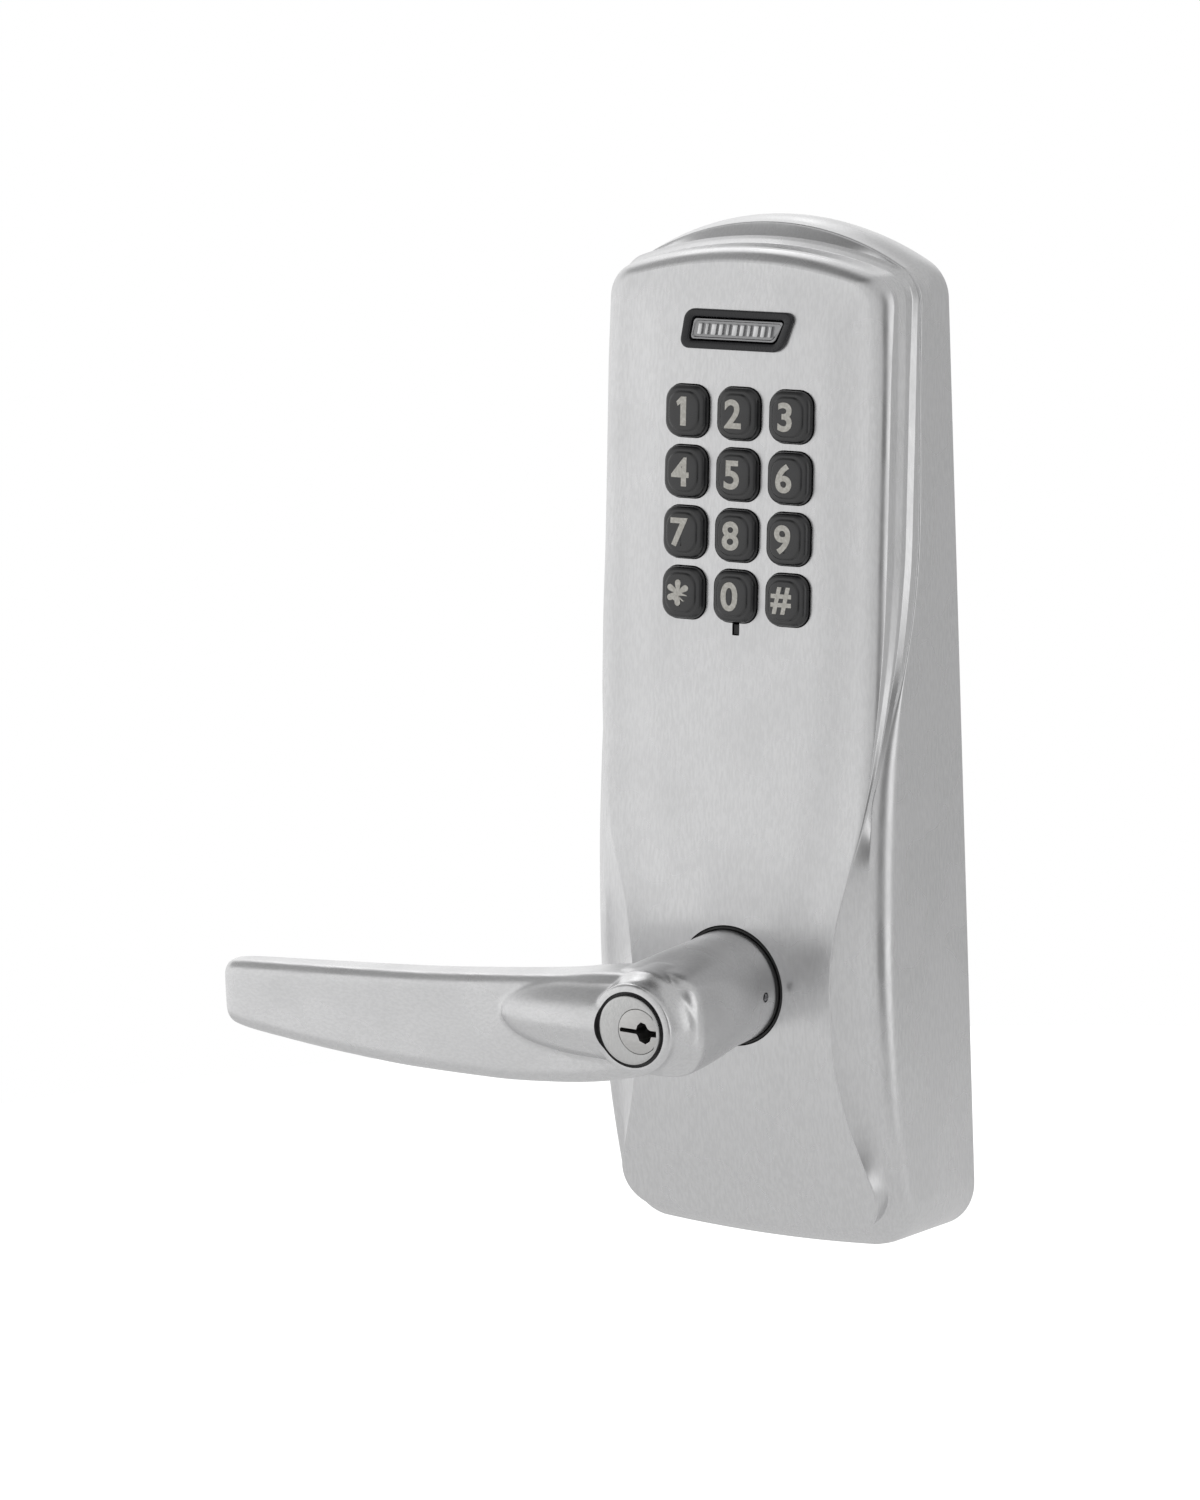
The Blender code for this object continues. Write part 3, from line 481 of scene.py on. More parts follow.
def finish_frame_nodes(made):
    """Give every carried-over solid its procedural finish."""
    for name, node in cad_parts.items():
        key = NODE_FINISH.get(name)
        if key is None and name.startswith(("mount_post", "plate_screw")):
            key = "steel"
        if key:
            node.data.materials.clear()
            node.data.materials.append(made[key])
            for poly in node.data.polygons:
                poly.material_index = 0


# ---- housing --------------------------------------------------------------------
SIDE_STEPS = 150
CORNER_STEPS = 14
EDGE_STEPS = 22
PANEL_COLUMNS = 44


def half_outline(half, top, arch, corner, floor):
    """Right half of an arched outline, from its top centre to its bottom centre."""
    points = []
    arch_z = top - arch
    reach = math.sqrt((arch - corner) ** 2 - (half - corner) ** 2)
    lean = math.atan2(half - corner, reach)
    for step in range(EDGE_STEPS):
        a = lean * step / EDGE_STEPS
        points.append((arch * math.sin(a), arch_z + arch * math.cos(a)))
    for step in range(CORNER_STEPS):
        a = mix(lean, math.pi / 2, step / CORNER_STEPS)
        points.append((half - corner + corner * math.sin(a), arch_z + reach + corner * math.cos(a)))
    foot = FLOOR_CORNER - (HALF_WIDTH - half)
    floor_z = floor + FLOOR_RADIUS
    floor_reach = math.sqrt((FLOOR_RADIUS - foot) ** 2 - (half - foot) ** 2)
    floor_lean = math.atan2(half - foot, floor_reach)
    upper, lower = arch_z + reach, floor_z - floor_reach
    for step in range(SIDE_STEPS):
        points.append((half, mix(upper, lower, step / SIDE_STEPS)))
    for step in range(CORNER_STEPS):
        a = mix(math.pi / 2, floor_lean, step / CORNER_STEPS)
        points.append((half - foot + foot * math.sin(a), lower - foot * math.cos(a)))
    for step in range(EDGE_STEPS + 1):
        a = floor_lean * (1 - step / EDGE_STEPS)
        points.append((FLOOR_RADIUS * math.sin(a), floor_z - FLOOR_RADIUS * math.cos(a)))
    return np.array(points)


def edge_depth(z):
    """Depth of the panel at its edge."""
    return panel_top(z) - panel_crown(z)


def wall_ring(t):
    """Ring on the side wall; t runs from 0 at the door to 1 where the edge rounding starts."""
    plain = half_outline(HALF_WIDTH, HALF_HEIGHT, ARCH_RADIUS, TOP_CORNER, -HALF_HEIGHT)
    x, z = plain[:, 0], plain[:, 1]
    share = box_edge(z)
    depth = (wall_end(z) - (EDGE_RADIUS - EDGE_FORWARD) * share - EDGE_START) * t
    rise = FLOOR_DRAFT * np.clip((-100 - z) / 30, 0, 1) * t
    swell = 1.1 * math.sin(math.pi * min(t * 1.15, 1.0)) * ramp(z, 100, 132)
    reach = np.hypot(x, z - (HALF_HEIGHT - ARCH_RADIUS))
    x_out = x * (1 - 0.05 * t / HALF_WIDTH) + swell * x / reach
    z_out = z * (1 - 0.065 * t / HALF_HEIGHT) + rise + swell * (z - (HALF_HEIGHT - ARCH_RADIUS)) / reach
    return np.stack([x_out, -depth, z_out], 1)


def edge_ring(degrees):
    """Ring on the round edge between side wall and wing; 0 lies on the wall, 90 faces the front."""
    plain = half_outline(HALF_WIDTH, HALF_HEIGHT, ARCH_RADIUS, TOP_CORNER, -HALF_HEIGHT)
    x, z = plain[:, 0], plain[:, 1]
    share = box_edge(z)
    radius = 0.5 + EDGE_RADIUS * share
    angle = math.radians(degrees)
    inward = 0.06 + radius * (1 - math.cos(angle))
    depth = wall_end(z) + EDGE_START + EDGE_FORWARD * share - radius * (1 - math.sin(angle))
    rise = FLOOR_DRAFT * np.clip((-100 - z) / 30, 0, 1)
    return np.stack([x * (1 - inward / HALF_WIDTH), -depth, z * (1 - inward * 1.3 / HALF_HEIGHT) + rise], 1)


def frame_ring(side_share, top_share, side_inset, top_inset):
    """Ring of the stepped frame; where it fades to a crease its insets draw together."""
    half = PANEL_HALF[0][1] - side_inset
    top = HALF_HEIGHT - PANEL_TOP_INSET - top_inset
    inward = top_inset / FRAME_STEPS[-1][3]
    arch = mix(FRAME_ARCH_RADIUS, PANEL_ARCH_RADIUS, inward)
    corner = mix(FRAME_CORNER, PANEL_CORNER, inward)
    plain = half_outline(half, top, arch, corner, -HALF_HEIGHT + PANEL_FLOOR_INSET + side_inset)
    x, z = plain[:, 0], plain[:, 1]
    share = mix(side_share, top_share, ramp(z, 98, 124))
    pinch = panel_half(z) / PANEL_HALF[0][1]
    tight = 0.90 * (1 - ramp(z, -34, 12))
    if side_share > 0:
        x = x + side_inset * tight * x / half
    return np.stack([x * pinch, -(edge_depth(z) - share * frame_drop(z)), z], 1)


def wing_ring(shoulder, crease, t):
    """Ring on the wing, hollow beside the waist and slightly full near the foot."""
    span = np.hypot(shoulder[:, 0] - crease[:, 0], shoulder[:, 2] - crease[:, 2])
    ring = mix(shoulder, crease, t)
    hollow = 0.04 - 0.16 * ramp(-crease[:, 2], 80, 118)
    ring[:, 1] += hollow * span * math.sin(math.pi * t)
    return ring


def mirrored(ring):
    """Whole ring from its right half."""
    left = ring[1:-1][::-1] * np.array([-1, 1, 1])
    return np.concatenate([ring, left])


def panel_surface(bm, ring, lift=0.0, soften=True):
    """Fill a mirrored ring with the crowned front panel, its edges rolling down to the ring."""
    border = np.array([v.co[:] for v in ring])[:, [0, 2]]
    half_count = len(ring) // 2
    rows = []
    for i in range(1, half_count):
        right, left = ring[i], ring[len(ring) - i]
        z = right.co.z
        xs = right.co.x * np.linspace(-1, 1, PANEL_COLUMNS + 1)[1:-1]
        gaps = np.sqrt(((border[None, :, 0] - xs[:, None]) ** 2 + (border[None, :, 1] - z) ** 2).min(1))
        near = 1 - ramp(gaps, 0, 14) if soften else np.zeros(len(xs))
        wide = 0.7 * (xs / panel_half(z)) ** 2
        depth = panel_top(z) - panel_crown(z) * (near + (1 - near) * wide) - lift
        rows.append([left] + [bm.verts.new((x, -d, z)) for x, d in zip(xs, depth)] + [right])
    for upper, lower in zip(rows, rows[1:]):
        for i in range(PANEL_COLUMNS):
            bm.faces.new((upper[i], upper[i + 1], lower[i + 1], lower[i]))
    for apex, row in ((ring[0], rows[0]), (ring[half_count], rows[-1])):
        for i in range(PANEL_COLUMNS):
            bm.faces.new((apex, row[i], row[i + 1]))


def inner_rings():
    """Inside of the housing wall, from its open back to the panel."""
    plain = half_outline(HALF_WIDTH - WALL, HALF_HEIGHT - WALL, ARCH_RADIUS - WALL, TOP_CORNER - WALL,
                         -HALF_HEIGHT + WALL)
    x, z = plain[:, 0], plain[:, 1]
    back = np.stack([x, 0 * x, z], 1)
    side = np.stack([x, -(wall_end(z) - 1.5), z], 1)
    pinch = (panel_half(z) - 6.0) / (HALF_WIDTH - WALL)
    z_in = z * (1 - 7.0 / HALF_HEIGHT)
    front = np.stack([x * pinch, -(edge_depth(z_in) - WALL - 0.6), z_in], 1)
    return [back, side, front]


def housing_piece(made):
    """Cast housing: rounded box, swept wings, stepped frame and crowned panel, with its openings."""
    shoulder = edge_ring(76)
    crease = frame_ring(*FRAME_STEPS[0][:4])
    rings = [wall_ring(0.0)] * 3 + [wall_ring(t) for t in (0.12, 0.3, 0.5, 0.7, 0.85)]
    rings += [edge_ring(a) for a in (0, 16, 32, 48, 62)] + [shoulder]
    rings += [wing_ring(shoulder, crease, t) for t in (0.12, 0.35, 0.7, 0.92)]
    for side_share, top_share, side, top, repeats in FRAME_STEPS:
        rings += [frame_ring(side_share, top_share, side, top)] * repeats
    outer = spline(rings, 3)
    bm = bmesh.new()
    rows = [add_ring(bm, mirrored(ring)) for ring in outer]
    for a, b in zip(rows, rows[1:]):
        bridge(bm, a, b)
    panel_surface(bm, rows[-1])
    inside = [add_ring(bm, mirrored(ring)) for ring in inner_rings()]
    for a, b in zip(inside, inside[1:]):
        bridge(bm, a, b)
    bridge(bm, rows[0], inside[0])
    panel_surface(bm, inside[-1], WALL, False)
    shell = new_object("housing_casting", bm, [made["satin"]])
    holes = []
    for z, x, name in key_places():
        outline = rounded_rect(KEY_WIDTH + 2 * GAP, KEY_HEIGHT + 2 * GAP, KEY_CORNER + GAP)
        holes.append(panel_cutter("hole_" + name, outline, x, z))
    badge = rounded_rect(BADGE_WIDTH - 1.6, BADGE_HEIGHT - 1.6, 2.2, 8, BADGE_SLANT)
    holes.append(panel_cutter("hole_badge", badge, BADGE_X, BADGE_Z))
    holes.append(panel_cutter("hole_weep", rounded_rect(2.2, 3.4, 0.3, 2), KEY_CENTRE_X, weep_z()))
    holes.append(cutter("hole_lever", lambda b: solid_cylinder(b, BORE_RADIUS, -60, -30)))
    boolean(shell, holes)
    shell.data.set_sharp_from_angle(angle=math.radians(32))
    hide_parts("housing")
    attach(shell, ROOT)


def panel_cutter(name, outline, x, z):
    """Solid that cuts an outline through the panel."""
    tool = cutter(name, lambda b: loft_into(b, [[(px, y, pz) for px, pz in outline] for y in (-6, 12)]))
    return on_panel(tool, x, z)


def key_places():
    """(z, x, name) of every key, row by row from the top."""
    rows = (("1", "2", "3"), ("4", "5", "6"), ("7", "8", "9"), ("star", "0", "hash"))
    for row, names in enumerate(rows):
        for column, name in enumerate(names):
            yield KEY_TOP_ROW_Z - row * KEY_PITCH, KEY_CENTRE_X + (column - 1) * KEY_PITCH, name


def weep_z():
    """Height of the weep slot, just under the bottom row of keys."""
    return KEY_TOP_ROW_Z - 3 * KEY_PITCH - KEY_HEIGHT / 2 - GAP - 1.5


# ---- keypad ---------------------------------------------------------------------
# Key section: (y, growth of the outline, change of its corner radius).
KEY_LEVELS = [(5.9, 1.6, 0.5), (4.8, 1.6, 0.5), (4.8, 0.0, 0.0), (-0.7, 0.0, 0.0), (-1.2, -0.15, 0.0),
              (-1.6, -0.45, 0.0), (-1.95, -0.95, -0.1), (-2.18, -1.6, -0.2), (-2.28, -2.3, -0.3),
              (-2.30, -2.9, -0.35), (-2.36, -3.2, -0.4), (-2.58, -3.5, -0.5), (-2.72, -3.9, -0.55),
              (-2.76, -4.5, -0.7), (-2.80, -6.6, -1.1), (-2.82, -9.0, -1.9)]
LEGEND_HEIGHT = 7.7
LEGEND_SHIFT = -0.6
# Legends that aren't their key's name: (text, height).  The 9 is a 6 turned round.
LEGENDS = {"star": ("*", 7.0), "hash": ("#", 7.2), "9": ("6", LEGEND_HEIGHT)}
# Outline of the 1, with its flag.
ONE = [(-1.9, 2.5), (-0.5, 3.85), (1.05, 3.85), (1.05, -3.85), (-0.65, -3.85), (-0.65, 2.0), (-1.5, 1.35)]


def key_top(x, z):
    """y of the pad's gentle dome at a place on the key."""
    return -2.84 + 0.06 * ((x / 4.4) ** 2 + (z / 4.9) ** 2) ** 1.2


def legend_mesh(name):
    """Bold numeral or symbol as a thin print that follows the key's dome."""
    body, height = LEGENDS.get(name, (name, LEGEND_HEIGHT))
    curve = bpy.data.curves.new("legend_" + name, "FONT")
    curve.body = body
    curve.size = 10.0
    curve.offset = 0.26
    curve.fill_mode = "FRONT"
    text = bpy.data.objects.new("legend_" + name, curve)
    bpy.context.scene.collection.objects.link(text)
    bpy.context.view_layer.update()
    mesh = bpy.data.meshes.new_from_object(text.evaluated_get(bpy.context.evaluated_depsgraph_get()))
    bpy.data.objects.remove(text)
    bpy.data.curves.remove(curve)
    bm = bmesh.new()
    if name == "1":
        bm.faces.new([bm.verts.new((x, y, 0)) for x, y in ONE])
    else:
        bm.from_mesh(mesh)
    bpy.data.meshes.remove(mesh)
    if name == "9":
        bmesh.ops.rotate(bm, cent=(0, 0, 0), matrix=Matrix.Rotation(math.pi, 3, "Z"), verts=bm.verts)
    bmesh.ops.remove_doubles(bm, verts=bm.verts, dist=0.001)
    points = np.array([v.co[:2] for v in bm.verts])
    low, high = points.min(0), points.max(0)
    scale = height / (high[1] - low[1])
    middle = (low + high) / 2
    bmesh.ops.triangulate(bm, faces=bm.faces)
    bmesh.ops.recalc_face_normals(bm, faces=bm.faces)
    for v in bm.verts:
        x = (v.co.x - middle[0]) * scale * 1.03 + LEGEND_SHIFT
        z = (v.co.y - middle[1]) * scale
        v.co = (x, key_top(x, z) - 0.07, z)
    edges = bmesh.ops.extrude_face_region(bm, geom=list(bm.faces))
    for v in [g for g in edges["geom"] if isinstance(g, bmesh.types.BMVert)]:
        v.co.y += 0.3
    return bm


def key_piece(name, x, z, made):
    """Moulded key with a flange, a pillow edge, a raised pad and its printed legend."""
    bm = bmesh.new()
    rings = []
    for y, grow, corner in KEY_LEVELS:
        outline = rounded_rect(KEY_WIDTH + grow, KEY_HEIGHT + grow, KEY_CORNER + corner, 7)
        rings.append([(px, y, pz) for px, pz in outline])
    made_rings = loft_into(bm, rings, caps=False)
    bm.faces.new(made_rings[0])
    fan(bm, made_rings[-1], (0, -2.83, 0))
    legend = legend_mesh(name)
    spare = bpy.data.meshes.new("spare")
    for face in legend.faces:
        face.material_index = 1
    bmesh.ops.recalc_face_normals(legend, faces=legend.faces)
    legend.to_mesh(spare)
    legend.free()
    bmesh.ops.recalc_face_normals(bm, faces=bm.faces)
    bm.from_mesh(spare)
    bpy.data.meshes.remove(spare)
    key = new_object("key_cap_" + name, bm, [made["rubber"], made["ink"]], 40)
    on_panel(key, x, z)
    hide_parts("key_" + name)
    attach(key, f"key_{name}_body")


# ---- badge ----------------------------------------------------------------------
def badge_pieces(made):
    """Black slanted bezel and the silver button in it, with plain upright ribs."""
    window = (BADGE_WIDTH - 5.0, BADGE_HEIGHT - 4.4)
    lip = -GAP + 0.2
    levels = [(5.0, -2.2, -0.9), (lip, -2.2, -0.9), (lip, 0.0, 0.0), (-0.9, 0.0, 0.0),
              (-1.25, -0.15, -0.05), (-1.45, -0.55, -0.2), (-1.5, -1.1, -0.4)]
    bm = bmesh.new()
    rings = []
    for y, grow, corner in levels:
        outline = rounded_rect(BADGE_WIDTH + grow, BADGE_HEIGHT + grow, 2.8 + corner, 8, BADGE_SLANT,
                               BEZEL_LEAN)
        rings.append([(x, y, z) for x, z in outline])
    for y, grow in ((-1.4, 1.1), (-1.15, 0.5), (-0.8, 0.15), (0.0, 0.0), (5.0, 0.0)):
        outline = rounded_rect(window[0] + grow, window[1] + grow, 1.2 + grow / 3, 8, WINDOW_SLANT,
                               WINDOW_LEAN)
        rings.append([(x, y, z) for x, z in outline])
    first = loft_into(bm, rings, caps=False)
    bridge(bm, first[-1], first[0])
    bezel = new_object("badge_frame", bm, [made["plastic"]], 40)
    on_panel(bezel, BADGE_X, BADGE_Z)
    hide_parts("badge_bezel")
    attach(bezel, ROOT)

    bm = bmesh.new()
    width, height = window[0] - 2 * GAP, window[1] - 2 * GAP
    rings = []
    for y, grow in ((3.2, 0.0), (-0.55, 0.0), (-0.8, -0.2), (-0.9, -0.6), (-0.86, -1.0), (-0.55, -1.4),
                    (-0.5, -1.8)):
        outline = rounded_rect(width + grow, height + grow, 1.0, 8, WINDOW_SLANT, WINDOW_LEAN)
        rings.append([(x, y, z) for x, z in outline])
    loft_into(bm, rings)
    for i in range(RIB_COUNT):
        x = (i - (RIB_COUNT - 1) / 2) * (width - 5.4) / (RIB_COUNT - 1)
        wide = (0.62, 0.42, 0.78)[i % 3]
        section = []
        for y, grow in ((-0.2, 0.1), (-0.9, 0.0), (-1.25, -0.12), (-1.32, -0.3)):
            outline = rounded_rect(wide * 2 + grow, height - 2.6 + grow, 0.3, 3, 0.5)
            section.append([(x + px, y, pz) for px, pz in outline])
        loft_into(bm, section, material=1)
    button = new_object("badge_plate", bm, [made["badge"], made["satin"]], 40)
    on_panel(button, BADGE_X, BADGE_Z)
    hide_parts("badge_button")
    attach(button, "badge_body")


# ---- lever ----------------------------------------------------------------------
def blade_rings():
    """Fine sections along the blade, read smoothly from the section table."""
    rows = np.array(BLADE, dtype=float)[::-1]
    xs = rows[:, 0]
    tables = [[(x, v) for x, v in zip(xs, rows[:, k])] for k in range(1, 5)]
    rings = []
    for x in np.concatenate([np.linspace(-136.4, -133, 8), np.linspace(-132, 6, 70)]):
        top, bottom, front, back = (cubic(t, x) for t in tables)
        tip = math.sqrt(max(0.0, 1 - min((x + 136.4) / 3.4, 1.0)) ** 2)
        round_off = 2.6 * (1 - math.sqrt(max(0.0, 1 - tip * tip)))
        outline = rounded_rect(top - bottom - 2 * round_off, front - back - 2 * round_off,
                               min(3.4, (front - back) * 0.36), 6)
        middle_z = AXIS_Z + (top + bottom) / 2
        middle_y = -(front + back) / 2
        rings.append([(x, middle_y + v, middle_z + u) for u, v in outline])
    return rings


HUB_EDGE = 5.4            # rounding between the shank and the hub's front
SKIN_VOXEL = 0.55
SKIN_PASSES = 5
BOSS_LENGTH = 46.5
BOSS_DEPTH = 88.2


def squircle(wide, up, down, power, angle, depth):
    """Point of the hub's section, which is round at the housing and squarer toward its front."""
    c, s = math.cos(angle), math.sin(angle)
    r = (abs(c) ** power + abs(s) ** power) ** (-1 / power)
    return wide * r * c, -depth, AXIS_Z + (up if s > 0 else down) * r * s


def lever_piece(made):
    """Cast lever: blade, shank, collar and bullet-shaped boss blended into one skin."""
    bm = bmesh.new()
    loft_into(bm, blade_rings())
    lever = new_object("lever_casting", bm, [made["lever"]])

    def shank(b):
        rings = []
        stations = [(d, 0.0) for d in (41, 50, 58, 64, 70, 76, 82)]
        stations += [(85 + HUB_EDGE * math.sin(a), HUB_EDGE * (1 - math.cos(a)))
                     for a in np.linspace(0, math.pi / 2, 9)]
        for depth, inset in stations:
            square = float(ramp(depth, 56, 84))
            power = 2.0 + 1.5 * square
            wide = SHANK_RADIUS - 0.6 * square - inset
            up, down = SHANK_RADIUS - 1.9 * square - inset, SHANK_RADIUS - 0.2 * square - inset
            rings.append([squircle(wide, up, down, power, a, depth)
                          for a in np.linspace(0, 2 * math.pi, 129)[:-1]])
        loft_into(b, rings)

    def collar(b):
        arc = [(COLLAR_RADIUS - 1.0 + 0.8 * math.cos(a), -96.2 - 1.0 * math.sin(a))
               for a in np.linspace(0, math.pi / 2, 6)]
        lathe(b, [(COLLAR_RADIUS + 1.6, -80.0), (COLLAR_RADIUS + 1.5, -89.5), (COLLAR_RADIUS + 0.5, -92.0),
                  (COLLAR_RADIUS - 0.1, -94.2)] + arc + [(1.0, -97.2), (1.0, -80.0)])

    def boss(b):
        rings = []
        for t in np.linspace(0.0, 1.0, 24):
            radius = (COLLAR_RADIUS - 1.4) * math.sqrt(max(1 - t ** 3.2, 0.0)) + 0.05
            rings.append([(-BOSS_LENGTH * t, -BOSS_DEPTH - radius * math.sin(a) * 0.96,
                           AXIS_Z - 0.6 * t + radius * math.cos(a))
                          for a in np.linspace(0, 2 * math.pi, 64)[:-1]])
        loft_into(b, rings)

    boolean(lever, [cutter("join_shank", shank), cutter("join_collar", collar), cutter("join_boss", boss)],
            "UNION")
    remesh = lever.modifiers.new("skin", "REMESH")
    remesh.mode = "VOXEL"
    remesh.voxel_size = SKIN_VOXEL * MM
    remesh.use_smooth_shade = True
    soften = lever.modifiers.new("soften", "SMOOTH")
    soften.factor = 0.5
    soften.iterations = SKIN_PASSES
    apply_modifiers(lever)
    bore = cutter("bore", lambda b: solid_cylinder(b, FACE_BORE, -110, -30))

    def catch(b):
        radius = CATCH_HOLE_RADIUS
        rings = [[(x, -CATCH_DEPTH + radius * math.cos(a), AXIS_Z + radius * math.sin(a))
                  for a in np.linspace(0, 2 * math.pi, 25)[:-1]] for x in (8.0, 20.0)]
        loft_into(b, rings)

    boolean(lever, [bore, cutter("catch_hole", catch)])
    lever.data.set_sharp_from_angle(angle=math.radians(40))
    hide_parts("lever")
    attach(lever, "lever_body")


def cylinder_pieces(made):
    """Key cylinder body and its plug, with a warded keyway."""
    bm = bmesh.new()
    inner = PLUG_RADIUS + PLUG_CLEARANCE
    front, back = -CYLINDER_FRONT, -CYLINDER_BACK
    outer_profile = [(CYLINDER_RADIUS, back), (CYLINDER_RADIUS, front + 0.6),
                     (CYLINDER_RADIUS - 0.12, front + 0.25), (CYLINDER_RADIUS - 0.4, front + 0.05),
                     (CYLINDER_RADIUS - 0.8, front)]
    inner_profile = [(inner + 0.1, front), (inner, front + 0.1), (inner, back)]
    rings = [circle(r, y) for r, y in outer_profile]
    rings += [circle(r, y, PLUG_OFFSET) for r, y in inner_profile]
    first = loft_into(bm, rings, caps=False)
    bridge(bm, first[-1], first[0])
    # Black plastic ring set a little inside the gap between the lever's bore and the cylinder: a dark sheet
    # that paints the gap's shadow.
    shadow_ring_outer, shadow_ring_inner = FACE_BORE - 0.02, CYLINDER_RADIUS + 0.02
    shadow_ring = [(shadow_ring_outer, -96.2), (shadow_ring_outer, -95.0), (shadow_ring_inner, -95.0), (shadow_ring_inner, -96.2)]
    lathe(bm, shadow_ring, material=1)
    body = new_object("cylinder_face", bm, [made["cylinder"], made["plastic"]], 35)
    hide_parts("cylinder_body")
    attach(body, "lever_body")

    bm = bmesh.new()
    profile = [(PLUG_RADIUS, back), (PLUG_RADIUS, front + 0.12), (PLUG_RADIUS - 0.08, front),
               (PLUG_RADIUS - 0.22, front - 0.05)]
    loft_into(bm, [circle(r, y, PLUG_OFFSET) for r, y in profile])
    plug = new_object("cylinder_plug_face", bm, [made["plug"]])

    def keyway(b):
        outline = [(-5.3, -0.4), (-5.4, 0.3), (-5.0, 0.7), (-0.3, 0.6), (0.1, 1.7), (1.2, 2.7), (2.6, 2.3),
                   (3.3, 1.1), (4.0, 0.7), (6.4, 0.7), (6.4, -0.9), (4.2, -1.0), (3.8, -2.2), (2.4, -3.1),
                   (0.6, -2.4), (0.1, -1.1), (-0.3, -0.6)]
        loft_into(b, [[(PLUG_OFFSET - 0.2 + x, y, AXIS_Z + z) for x, z in outline] for y in (-99.5, -75.0)])

    boolean(plug, [cutter("keyway", keyway)])
    plug.data.set_sharp_from_angle(angle=math.radians(35))
    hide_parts("cylinder_plug")
    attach(plug, "plug_body")


# ---- studio ---------------------------------------------------------------------
def direction(azimuth, elevation):
    """Unit vector; azimuth 0 is in front of the object (-Y) and grows toward +X."""
    a, e = math.radians(azimuth), math.radians(elevation)
    return Vector((math.sin(a) * math.cos(e), -math.cos(a) * math.cos(e), math.sin(e)))


# Soft fields of light: (azimuth, elevation, full within, gone beyond, change, height squash).
LIGHT_BASE = 0.60
LIGHTS = [(-80, 0, 15, 85, 0.38, 0.7), (-68, 56, 20, 42, -0.52, 1.0), (-150, 18, 12, 34, 0.32, 1.0),
          (-138, 46, 4, 18, 0.70, 1.0), (6, -2, 6, 26, 0.07, 0.6), (54, 0, 6, 24, -0.36, 0.35),
          (92, 0, 5, 20, 0.52, 0.35), (152, -6, 18, 36, -0.08, 0.8)]


STAGE_RADIUS = 0.8
STAGE_Z = -0.30
FLOOR_GLOW = 0.46


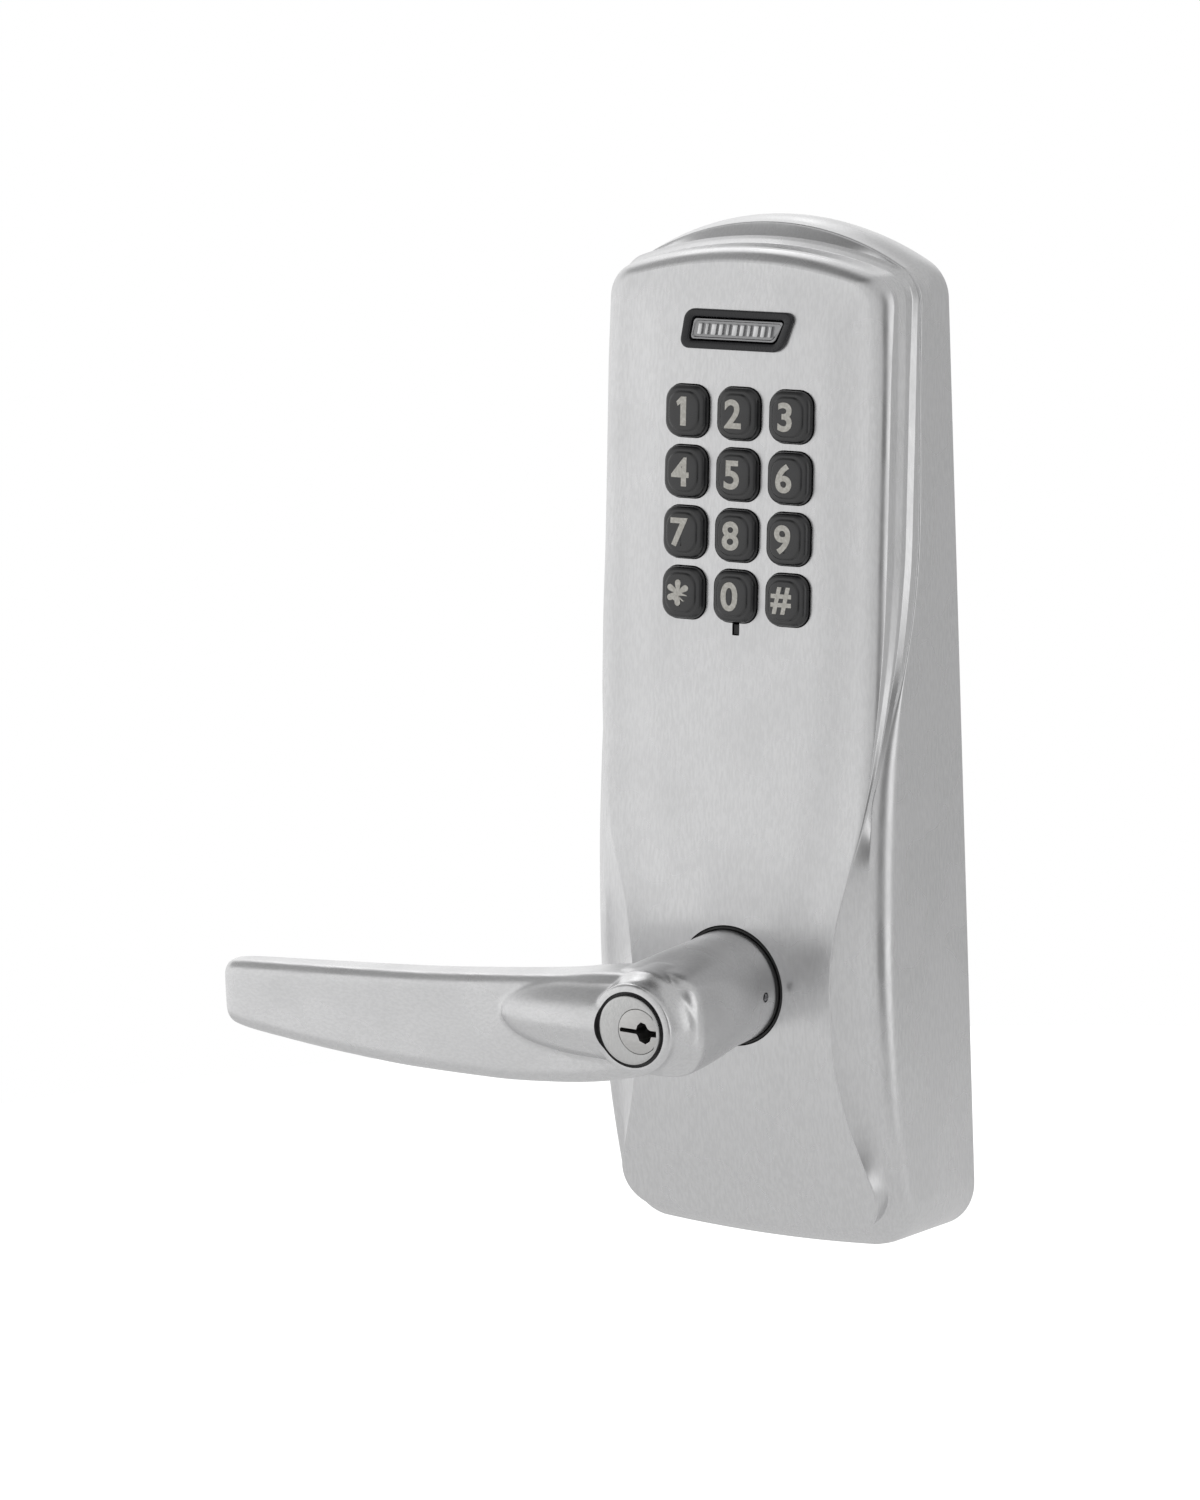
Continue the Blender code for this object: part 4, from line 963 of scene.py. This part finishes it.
def studio():
    """White surroundings with soft fields of light, and a plain pale floor."""
    scene = bpy.context.scene
    scene.view_settings.view_transform = "Standard"
    world = bpy.data.worlds.new("studio")
    scene.world = world
    world.use_nodes = True
    tree = world.node_tree
    tree.nodes.clear()
    coordinate = tree.nodes.new("ShaderNodeTexCoord").outputs["Generated"]
    total = None
    for azimuth, elevation, inner, outer, change, squash in LIGHTS:
        squeeze = tree.nodes.new("ShaderNodeVectorMath")
        squeeze.operation = "MULTIPLY"
        squeeze.inputs[1].default_value = (1, 1, squash)
        tree.links.new(coordinate, squeeze.inputs[0])
        unit = tree.nodes.new("ShaderNodeVectorMath")
        unit.operation = "NORMALIZE"
        tree.links.new(squeeze.outputs[0], unit.inputs[0])
        toward = tree.nodes.new("ShaderNodeVectorMath")
        toward.operation = "DOT_PRODUCT"
        aim = direction(azimuth, elevation)
        aim.z *= squash
        toward.inputs[1].default_value = aim.normalized()
        tree.links.new(unit.outputs[0], toward.inputs[0])
        fade = tree.nodes.new("ShaderNodeMapRange")
        fade.interpolation_type = "SMOOTHSTEP"
        fade.inputs["From Min"].default_value = math.cos(math.radians(outer))
        fade.inputs["From Max"].default_value = math.cos(math.radians(inner))
        fade.inputs["To Min"].default_value = 0.0
        fade.inputs["To Max"].default_value = change
        tree.links.new(toward.outputs["Value"], fade.inputs["Value"])
        join = tree.nodes.new("ShaderNodeMath")
        join.operation = "ADD"
        join.inputs[1].default_value = LIGHT_BASE
        if total is not None:
            tree.links.new(total, join.inputs[1])
        tree.links.new(fade.outputs["Result"], join.inputs[0])
        total = join.outputs[0]
    seen = tree.nodes.new("ShaderNodeLightPath").outputs["Is Camera Ray"]
    pick = tree.nodes.new("ShaderNodeMix")
    pick.inputs[3].default_value = 1.0
    tree.links.new(seen, pick.inputs[0])
    tree.links.new(total, pick.inputs[2])
    glow = tree.nodes.new("ShaderNodeBackground")
    glow.inputs["Color"].default_value = (1, 1, 1, 1)
    tree.links.new(pick.outputs[0], glow.inputs["Strength"])
    out = tree.nodes.new("ShaderNodeOutputWorld")
    tree.links.new(glow.outputs[0], out.inputs["Surface"])

    bm = bmesh.new()
    bmesh.ops.create_circle(bm, cap_ends=True, segments=96, radius=STAGE_RADIUS)
    mesh = bpy.data.meshes.new("floor")
    bm.to_mesh(mesh)
    bm.free()
    floor = bpy.data.objects.new("floor", mesh)
    scene.collection.objects.link(floor)
    floor.location = (0, 0, STAGE_Z)
    pale = bpy.data.materials.new("pale_floor")
    pale.use_nodes = True
    nodes = pale.node_tree
    shader = nodes.nodes["Principled BSDF"]
    shader.inputs["Base Color"].default_value = (0.35, 0.35, 0.35, 1)
    shader.inputs["Roughness"].default_value = 0.9
    shader.inputs["Emission Color"].default_value = (1, 1, 1, 1)
    ray = nodes.nodes.new("ShaderNodeLightPath").outputs["Is Camera Ray"]
    level = nodes.nodes.new("ShaderNodeMapRange")
    level.inputs["To Min"].default_value = FLOOR_GLOW
    level.inputs["To Max"].default_value = 1.0
    nodes.links.new(ray, level.inputs["Value"])
    nodes.links.new(level.outputs["Result"], shader.inputs["Emission Strength"])
    mesh.materials.append(pale)


VIEW_ANGLES = (31.80, 11.96, -2.07)       # azimuth, elevation and roll
VIEW_CENTRE = (0, -0.030, 0.008)
VIEW_DISTANCE = 1.6
LENS_SHIFT = (-0.10347, -0.0226)          # shares of the picture's longer side


def camera():
    """Long lens looking a little down on the lock from its right."""
    azimuth, elevation, roll = (math.radians(angle) for angle in VIEW_ANGLES)
    back = Vector((math.sin(azimuth) * math.cos(elevation), -math.cos(azimuth) * math.cos(elevation),
                   math.sin(elevation)))
    right = Vector((math.cos(azimuth), math.sin(azimuth), 0))
    up = back.cross(right)
    right_rolled = right * math.cos(roll) + up * math.sin(roll)
    up_rolled = up * math.cos(roll) - right * math.sin(roll)
    data = bpy.data.cameras.new("camera")
    data.sensor_width = 36.0
    data.lens = 144.0
    data.shift_x, data.shift_y = LENS_SHIFT
    data.clip_start = 0.05
    data.clip_end = 50
    cam = bpy.data.objects.new("camera", data)
    bpy.context.scene.collection.objects.link(cam)
    cam.matrix_world = Matrix((right_rolled, up_rolled, back)).transposed().to_4x4()
    cam.location = Vector(VIEW_CENTRE) + back * VIEW_DISTANCE
    bpy.context.scene.camera = cam


# ---- assembly -------------------------------------------------------------------
camera()
studio()
materials = make_materials()
finish_frame_nodes(materials)
housing_piece(materials)
for row_z, column_x, key_name in key_places():
    key_piece(key_name, column_x, row_z, materials)
badge_pieces(materials)
lever_piece(materials)
cylinder_pieces(materials)
